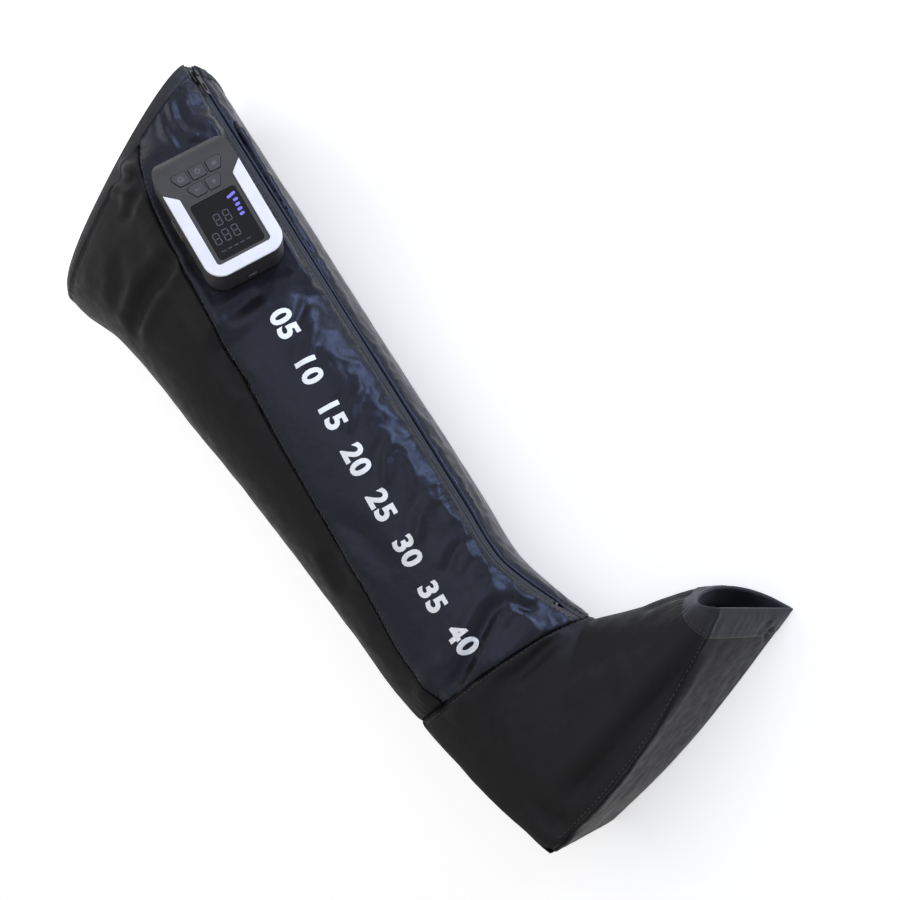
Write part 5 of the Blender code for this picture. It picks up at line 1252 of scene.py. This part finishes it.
def trim_and_keys():
    trim = prism("white_frame", trim_outline(), FACE - TRIM_SEAT + FIT, FACE + TRIM_PROUD, TRIM, "controller",
                 0.0009)
    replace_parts(trim, "front_trim")
    for name, outline in key_outlines().items():
        body = name.replace("_key", "_button")
        cap = prism(name + "_cap", outline, CEILING - FIT, FACE + KEY_PROUD, KEY, body, 0.0005)
        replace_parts(cap, name)
    near, far = KEY_ROW_Y, KEY_ROW_Y + KEY_PITCH_Y
    step = KEY_PITCH_X
    level = (0, near, 0.0046, 0.0007, 0)
    for name, x, lines in (
            ("minus_sign", -step / 2, (level,)),
            ("plus_sign", step / 2, (level, (*level[:4], 90))),
            ("timer_hands", -step, ((0, far - 0.0008, 0.0016, 0.0005, 90), (0.0006, far, 0.0012, 0.0005, 0))),
            ("power_stroke", 0, ((0, far - 0.0020, 0.0022, 0.0005, 90),)),
            ("mode_lines", step, [(0, far + shift, 0.0044, 0.0005, 0) for shift in (-0.0014, 0, 0.0014)])):
        items = [(x + line[0], *line[1:]) for line in lines]
        bars(name, items, FACE + KEY_PROUD, MARK, name.split("_")[0] + "_button")
    ring("timer_ring", -step, far, 0.0024, 0, 360, "timer_button")
    ring("power_ring", 0, far, 0.0023, -60, 240, "power_button")


def bars(name, items, level, shade, body="controller", height=SIGN_HEIGHT):
    """Thin raised bars: each is centre x, centre y, length, width and turn in degrees."""
    bm = bmesh.new()
    for x, y, length, width, turn in items:
        outline = rectangle(length, width, width / 2.2)
        place = Matrix.Translation((x, y, 0)) @ Matrix.Rotation(radians(turn), 4, "Z")
        foot, top = ([bm.verts.new(place @ Vector((a, b, level + rise))) for a, b in outline]
                     for rise in (-height, height))
        wall_off(bm, foot, top)
    case_piece(name, to_mesh(name, bm), shade, body)


def ring(name, x, y, radius, first, last, body):
    """A raised ring, or part of one, on a key."""
    turns = np.radians(np.linspace(first, last, RING_STEPS + 1))
    outer, inner = ([(x + size * cos(t), y + size * sin(t)) for t in turns]
                    for size in (radius + RING_HALF_WIDTH, radius - RING_HALF_WIDTH))
    low, high = FACE + KEY_PROUD - SIGN_HEIGHT, FACE + KEY_PROUD + SIGN_HEIGHT
    bm = bmesh.new()
    for i in range(RING_STEPS):
        quad = (outer[i], outer[i + 1], inner[i + 1], inner[i])
        bm.faces.new([bm.verts.new((*corner, high)) for corner in quad])
        for one, two in ((outer[i + 1], outer[i]), (inner[i], inner[i + 1])):
            side = ((*one, high), (*two, high), (*two, low), (*one, low))
            bm.faces.new([bm.verts.new(corner) for corner in side])
    bmesh.ops.remove_doubles(bm, verts=bm.verts, dist=MERGE)
    case_piece(name, to_mesh(name, bm), MARK, body)


# Middle and turn of a digit's seven segments, in half digits
SEGMENTS = ((0, 1, 0), (0.5, 0.5, 90), (0.5, -0.5, 90), (0, -1, 0), (-0.5, -0.5, 90), (-0.5, 0.5, 90),
            (0, 0, 0))


def digit_bars(count, x, y):
    """Bars of some digits with all segments on, the first at x and the rest towards the back."""
    return [(x - i * DIGIT_SIZE * DIGIT_STEP - a * DIGIT_SIZE * 0.5, y - b * DIGIT_SIZE * 0.5,
             DIGIT_SIZE * SEGMENT_LENGTH, DIGIT_SIZE * SEGMENT_WIDTH, turn)
            for i in range(count) for a, b, turn in SEGMENTS]


def display():
    """Dark glass with its segments shown just on the glass."""
    top = FACE - LENS_RECESS
    lens = prism("display_glass", rectangle(LENS_WIDTH, LENS_LENGTH, LENS_RADIUS, y=LENS_Y),
                 top - LENS_THICKNESS, top, GLASS, "controller", 0.0003)
    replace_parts(lens, "display_lens")
    icon = [(0.0185 - i * 0.0004, LENS_Y + 0.0225 - i * 0.0052, 0.0052, 0.0030, 8) for i in range(1, 5)]
    dashes = [(0.010 - i * 0.0066, LENS_Y - 0.0235, 0.0046, 0.0008, 0) for i in range(5)]
    for name, items, shade in (
            ("digits_upper", digit_bars(3, 0.0035, LENS_Y - 0.010), DIM),
            ("digits_lower", digit_bars(2, 0.0035, LENS_Y + 0.007), DIM),
            ("leg_icon", icon, VIOLET),
            ("leg_icon_foot", [(0.0165, LENS_Y + 0.0232, 0.0098, 0.0030, 14)], VIOLET),
            ("level_dashes", dashes, DIM)):
        bars(name, items, top, shade, height=SEGMENT_HEIGHT)


def latch_caps():
    """Ribbed caps on the two latches."""
    level = CASE_WIDTH / 2 + LATCH_PROUD
    for side, word in ((1, "right"), (-1, "left")):
        pieces = [(f"{word}_latch_cap", latch_outline(), CASE_WIDTH / 2 - 0.004, level, 0.0007, 3)]
        for i in range(5):
            rib = rectangle(0.0007, LATCH_HEIGHT * 0.5, 0.0003, LATCH_Y + (i - 2) * 0.0022, BASE + LATCH_Z)
            pieces.append((f"{word}_latch_rib_{i + 1}", rib, level - 0.0003, level + 0.0003, 0.00015, 1))
        for name, outline, inner, outer, bevel, segments in pieces:
            low, high = sorted((side * inner, side * outer))
            prism(name, outline, low, high, KEY, word + "_release", bevel, LENGTHWISE, segments)


# The printed scale

PRINT_LINE = ((3.52, 47), (3.95, 52), (4.67, 60), (5.62, 68), (6.60, 73), (7.20, 76), (7.80, 83))
PRINT_TEXT = ("05", "10", "15", "20", "25", "30", "35", "40")
PRINT_SIZE = 0.0280
PRINT_GROUP = 0.0495
PRINT_START = 0.002
PRINT_LIFT = 0.0004
PRINT_WEIGHT_SHARE = 0.040
PRINT_SPACING = 1.12
PRINT_LONGEST_EDGE = 0.0022
PRINT_DIVISIONS = 3
BAND_STEPS = 300
BAND_SMOOTHING = 61
BAND_AHEAD = 0.002


def text_mesh(body, size):
    """A flat bold text as a mesh with short edges, its left end at x 0 and its middle at y 0."""
    curve = bpy.data.curves.new("text", "FONT")
    curve.body = body
    curve.size = size
    curve.offset = size * PRINT_WEIGHT_SHARE
    curve.align_x = "LEFT"
    curve.align_y = "CENTER"
    curve.space_character = PRINT_SPACING
    curve.resolution_u = 4
    obj = in_scene("text", curve)
    mesh = evaluated_mesh(obj)
    bpy.data.objects.remove(obj)
    bm = bmesh.new()
    bm.from_mesh(mesh)
    bmesh.ops.remove_doubles(bm, verts=bm.verts, dist=MERGE)
    bmesh.ops.triangulate(bm, faces=bm.faces)
    for _ in range(PRINT_DIVISIONS):
        long = [e for e in bm.edges if e.calc_length() > PRINT_LONGEST_EDGE]
        if long:
            bmesh.ops.subdivide_edges(bm, edges=long, cuts=1)
            bmesh.ops.triangulate(bm, faces=bm.faces)
    bm.to_mesh(mesh)
    bm.free()
    return mesh


def onto_band(flat):
    """Moves flat points (run along the band, height across it) onto the printed band of the sleeve."""
    knots = np.array(PRINT_LINE, float)
    share = np.linspace(0, 1, BAND_STEPS)
    place = np.interp(share, (knots[:, 0] - knots[0, 0]) / (knots[-1, 0] - knots[0, 0]), knots[:, 0])
    angle = np.radians(np.interp(place, knots[:, 0], knots[:, 1]))
    kernel = np.ones(BAND_SMOOTHING) / BAND_SMOOTHING
    angle = np.convolve(np.pad(angle, BAND_SMOOTHING // 2, "edge"), kernel, "valid")
    run = run_along(points(place, angle))
    at_place = np.interp(flat[:, 0], run, place)
    at_angle = np.interp(flat[:, 0], run, angle)
    ahead_place = np.interp(flat[:, 0] + BAND_AHEAD, run, place)
    ahead_angle = np.interp(flat[:, 0] + BAND_AHEAD, run, angle)
    base = points(at_place, at_angle)
    ahead = points(ahead_place, ahead_angle) - base
    ahead /= lengths(ahead)[:, None]
    up = np.cross(outward(at_place, at_angle), ahead)
    along = (points(at_place + NORMAL_STEP, at_angle) - base) / NORMAL_STEP
    around = (points(at_place, at_angle + NORMAL_STEP) - base) / NORMAL_STEP
    aa, ab, bb = (along * along).sum(1), (along * around).sum(1), (around * around).sum(1)
    ua, ub = (up * along).sum(1), (up * around).sum(1)
    det = aa * bb - ab * ab
    move_place = (ua * bb - ub * ab) / det
    move_angle = (ub * aa - ua * ab) / det
    height = flat[:, 1]
    return skin_points(at_place + move_place * height, at_angle + move_angle * height, PRINT_LIFT)


def printed_scale():
    """Plain numbers along the front panel."""
    for i, body in enumerate(PRINT_TEXT):
        mesh = text_mesh(body, PRINT_SIZE)
        flat = np.array([v.co[:2] for v in mesh.vertices])
        flat[:, 0] += PRINT_START + i * PRINT_GROUP
        mesh.vertices.foreach_set("co", onto_band(flat).reshape(-1).astype(np.float32))
        mesh.update()
        mesh.materials.clear()
        new_object(f"printed_{body}", mesh, PRINT)


# CAD nodes that keep their own shape

# Zones of the air chambers, with the places they run between
ZONES = {"thigh": (1.0, 2.5), "knee": (2.5, 4.0), "calf": (4.0, 5.5), "ankle": (5.5, 7.3),
         "foot": (HEEL, TOE - 1)}
FINISHES = (
    (CASE, ("dock_plate", "dock_backing", "display_module")),
    (SILICONE, ("dock_gasket", "key_membrane")),
    (BOARD, ("main_board",)),
    (WRAP, ("inner_cell", "outer_cell")),
    (STEEL, ("charge_socket", "pump_motor", "pump_crank", *(f"case_screw_{i}" for i in range(1, 5)))),
    (PUMP, ("pump_head", "valve_block", "hose_block")),
    (HOSE, ("pump_tube", *(zone + "_hose" for zone in ZONES))),
    (ENAMEL, ("zip_slider", "zip_pull", "zip_bottom_stop")),
    (FILM, [zone + "_air_chamber" for zone in ZONES]),
    (KEY, ("left_latch", "right_latch")),
    (GLASS, ("display_lens",)),
    (TRIM, ("front_trim",)),
)
ROUNDED = {"zip_slider": 0.0004, "zip_pull": 0.00035, "zip_bottom_stop": 0.0002, "charge_socket": 0.0002,
           "pump_head": 0.0006, "valve_block": 0.0006, "hose_block": 0.0005, "pump_motor": 0.0005,
           "dock_plate": 0.0004}


def finish_nodes():
    for shade, names in FINISHES:
        for name in names:
            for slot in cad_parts[name].material_slots:
                slot.material = shade
    for name, width in ROUNDED.items():
        round_edges(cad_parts[name], width, 2, NODE_LIMIT)


# Air chambers: pillows of film between the outer fabric and the lining

CHAMBER_GAP = 0.05
CHAMBER_LENGTH = 0.15
CHAMBER_TOP = 0.0030
CHAMBER_FOOT = 0.0118
CHAMBER_EDGE = 0.0004
CHAMBER_WELD = 0.006
CHAMBER_ROUNDING = 0.03
CHAMBER_DIP = 0.0008
LOWER_SIDE_SHARE = 0.75
FOOT_START = 0.5
# Level above the table that the upper and the lower film keep
FILM_LEVELS = (0.0014, 0.0016)


def air_chambers():
    for zone, (low, high) in ZONES.items():
        name, node, foot = zone + "_air_pillow", zone + "_air_chamber", zone == "foot"
        places = even_places(low + CHAMBER_GAP, high - CHAMBER_GAP, 2 * STEP, 2.5)
        start = fixed(FOOT_START) if foot else seam_angles
        end = fixed(2 * pi - FOOT_START) if foot else lambda p: 2 * pi - seam_angles(p) * LOWER_SIDE_SHARE
        spread, angle, shape = angle_grid(places, start, end, count_at(0.5) // 2 - 1, False)
        share = np.linspace(0, 1, shape[1])
        width = lengths(points(places, start(places)) - points(places, end(places))).mean() * 1.6
        run = (places - places[0]) / (places[-1] - places[0])
        to_end, to_side = np.minimum(run, 1 - run) * CHAMBER_LENGTH, np.minimum(share, 1 - share) * width
        edge = np.minimum.outer(to_end, to_side).reshape(-1)
        fat = np.sqrt(clamp01(edge / CHAMBER_ROUNDING)) * clamp01(edge / CHAMBER_WELD)
        puff = 0.85 + 0.15 * noise_field(skin_points(spread, angle), 30.0, seed=61)
        base, out = points(spread, angle), outward(spread, angle)
        top = CHAMBER_TOP - relief(spread, angle, base) + CHAMBER_DIP * (1 - fat)
        deep = CHAMBER_TOP + (CHAMBER_FOOT - CHAMBER_TOP) * fat * puff
        foot_depth = np.maximum(top + CHAMBER_EDGE * 2, deep)
        upper, lower = base - out * top[:, None], base - out * foot_depth[:, None]
        for film, level in zip((upper, lower), FILM_LEVELS):
            film[:, 2] = np.maximum(film[:, 2], level)
        obj = new_object(name, pillow_mesh(name, upper.reshape(shape), lower.reshape(shape)), FILM)
        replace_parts(obj, node)


def pillow_mesh(name, upper, lower):
    """A closed mesh between two grids of points."""
    index, quads = grid_quads(*upper.shape[:2])
    count = index.size
    faces = quads.tolist() + (quads[:, ::-1] + count).tolist()
    rim = np.concatenate((index[0], index[1:, -1], index[-1, -2::-1], index[-2:0:-1, 0]))
    faces += [(int(b), int(a), int(a) + count, int(b) + count) for a, b in zip(rim, np.roll(rim, -1))]
    mesh = mesh_from(name, np.concatenate((upper.reshape(-1, 3), lower.reshape(-1, 3))).tolist(), faces)
    mesh.shade_smooth()
    return mesh


# Camera, floor and light


def camera():
    turn, tip, roll = LEG_TURN, CAMERA_TIP, CAMERA_ROLL
    aside = Vector((cos(turn), -sin(turn), 0))
    along = Vector((sin(turn), cos(turn), 0))
    rise = Vector((0, 0, 1))
    back = rise * cos(tip) + aside * sin(tip)
    level = aside * cos(tip) - rise * sin(tip)
    right = level * cos(roll) - along * sin(roll)
    up = level * sin(roll) + along * cos(roll)
    made = bpy.data.cameras.new("camera")
    made.lens = CAMERA_LENS
    made.sensor_width = CAMERA_SENSOR
    obj = in_scene("camera", made)
    matrix = Matrix((right, up, back)).transposed().to_4x4()
    matrix.translation = Vector(CAMERA_TARGET + FRAME_SHIFT) + back * CAMERA_DISTANCE
    obj.matrix_world = matrix
    bpy.context.scene.camera = obj


def area_light(name, place, aim, size, watts, colour=(1, 1, 1)):
    made = bpy.data.lights.new(name, "AREA")
    made.shape = "RECTANGLE"
    made.size, made.size_y = size
    made.energy = watts
    made.color = colour
    obj = in_scene(name, made)
    obj.location = place
    obj.rotation_euler = (Vector(aim) - Vector(place)).to_track_quat("-Z", "Y").to_euler()


WORLD_LIGHT = 0.30
FLOOR_GLOW = 0.55
FLOOR_WIDTH = 12


def when_seen(tree, value, unseen, seen):
    """Links a level into a socket that is higher for camera, mirror and glass rays."""
    path = tree.nodes.new("ShaderNodeLightPath")
    either = path.outputs["Is Camera Ray"]
    for ray in ("Is Glossy Ray", "Is Transmission Ray"):
        wider = tree.nodes.new("ShaderNodeMath")
        wider.operation = "MAXIMUM"
        tree.links.new(either, wider.inputs[0])
        tree.links.new(path.outputs[ray], wider.inputs[1])
        either = wider.outputs[0]
    level = tree.nodes.new("ShaderNodeMapRange")
    level.inputs["To Min"].default_value = unseen
    level.inputs["To Max"].default_value = seen
    tree.links.new(either, level.inputs["Value"])
    tree.links.new(level.outputs["Result"], value)


def stage():
    """A white sweep that the camera sees as white, under soft light that comes mostly from the zip's side."""
    world = bpy.data.worlds.new("world")
    world.use_nodes = True
    tree = world.node_tree
    background = tree.nodes["Background"]
    background.inputs["Color"].default_value = (1, 1, 1, 1)
    when_seen(tree, background.inputs["Strength"], WORLD_LIGHT, 1.0)
    bpy.context.scene.world = world
    bpy.context.scene.view_settings.view_transform = "Standard"
    half = FLOOR_WIDTH / 2
    corners = [(-half, -half, 0), (half, -half, 0), (half, half, 0), (-half, half, 0)]
    mesh = mesh_from("floor", corners, [(0, 1, 2, 3)])
    floor = in_scene("floor", mesh)
    shade = make_material("floor", "", (0.80, 0.80, 0.80), 0.9, Specular_IOR_Level=0.0,
                          Emission_Color=(1, 1, 1, 1))
    shader = shade.node_tree.nodes["Principled BSDF"]
    when_seen(shade.node_tree, shader.inputs["Emission Strength"], 0.0, FLOOR_GLOW)
    mesh.materials.append(shade)
    area_light("zip_side", (1.9, 0.25, 0.30), (0, 0, 0.1), (1.8, 0.45), 42, (0.62, 0.73, 1.0))
    area_light("above", (0.3, 0.3, 2.4), (0, 0, 0), (2.4, 2.4), 20, (0.98, 0.98, 1.0))
    area_light("hip", (-0.5, 2.0, 1.0), (0, 0.1, 0.1), (1.0, 0.7), 8, (1.0, 0.98, 0.97))


stage()
camera()
fabric_panels()
linings()
air_chambers()
hems()
seam_stitches()
zip_tapes()
shells()
trim_and_keys()
display()
latch_caps()
printed_scale()
finish_nodes()
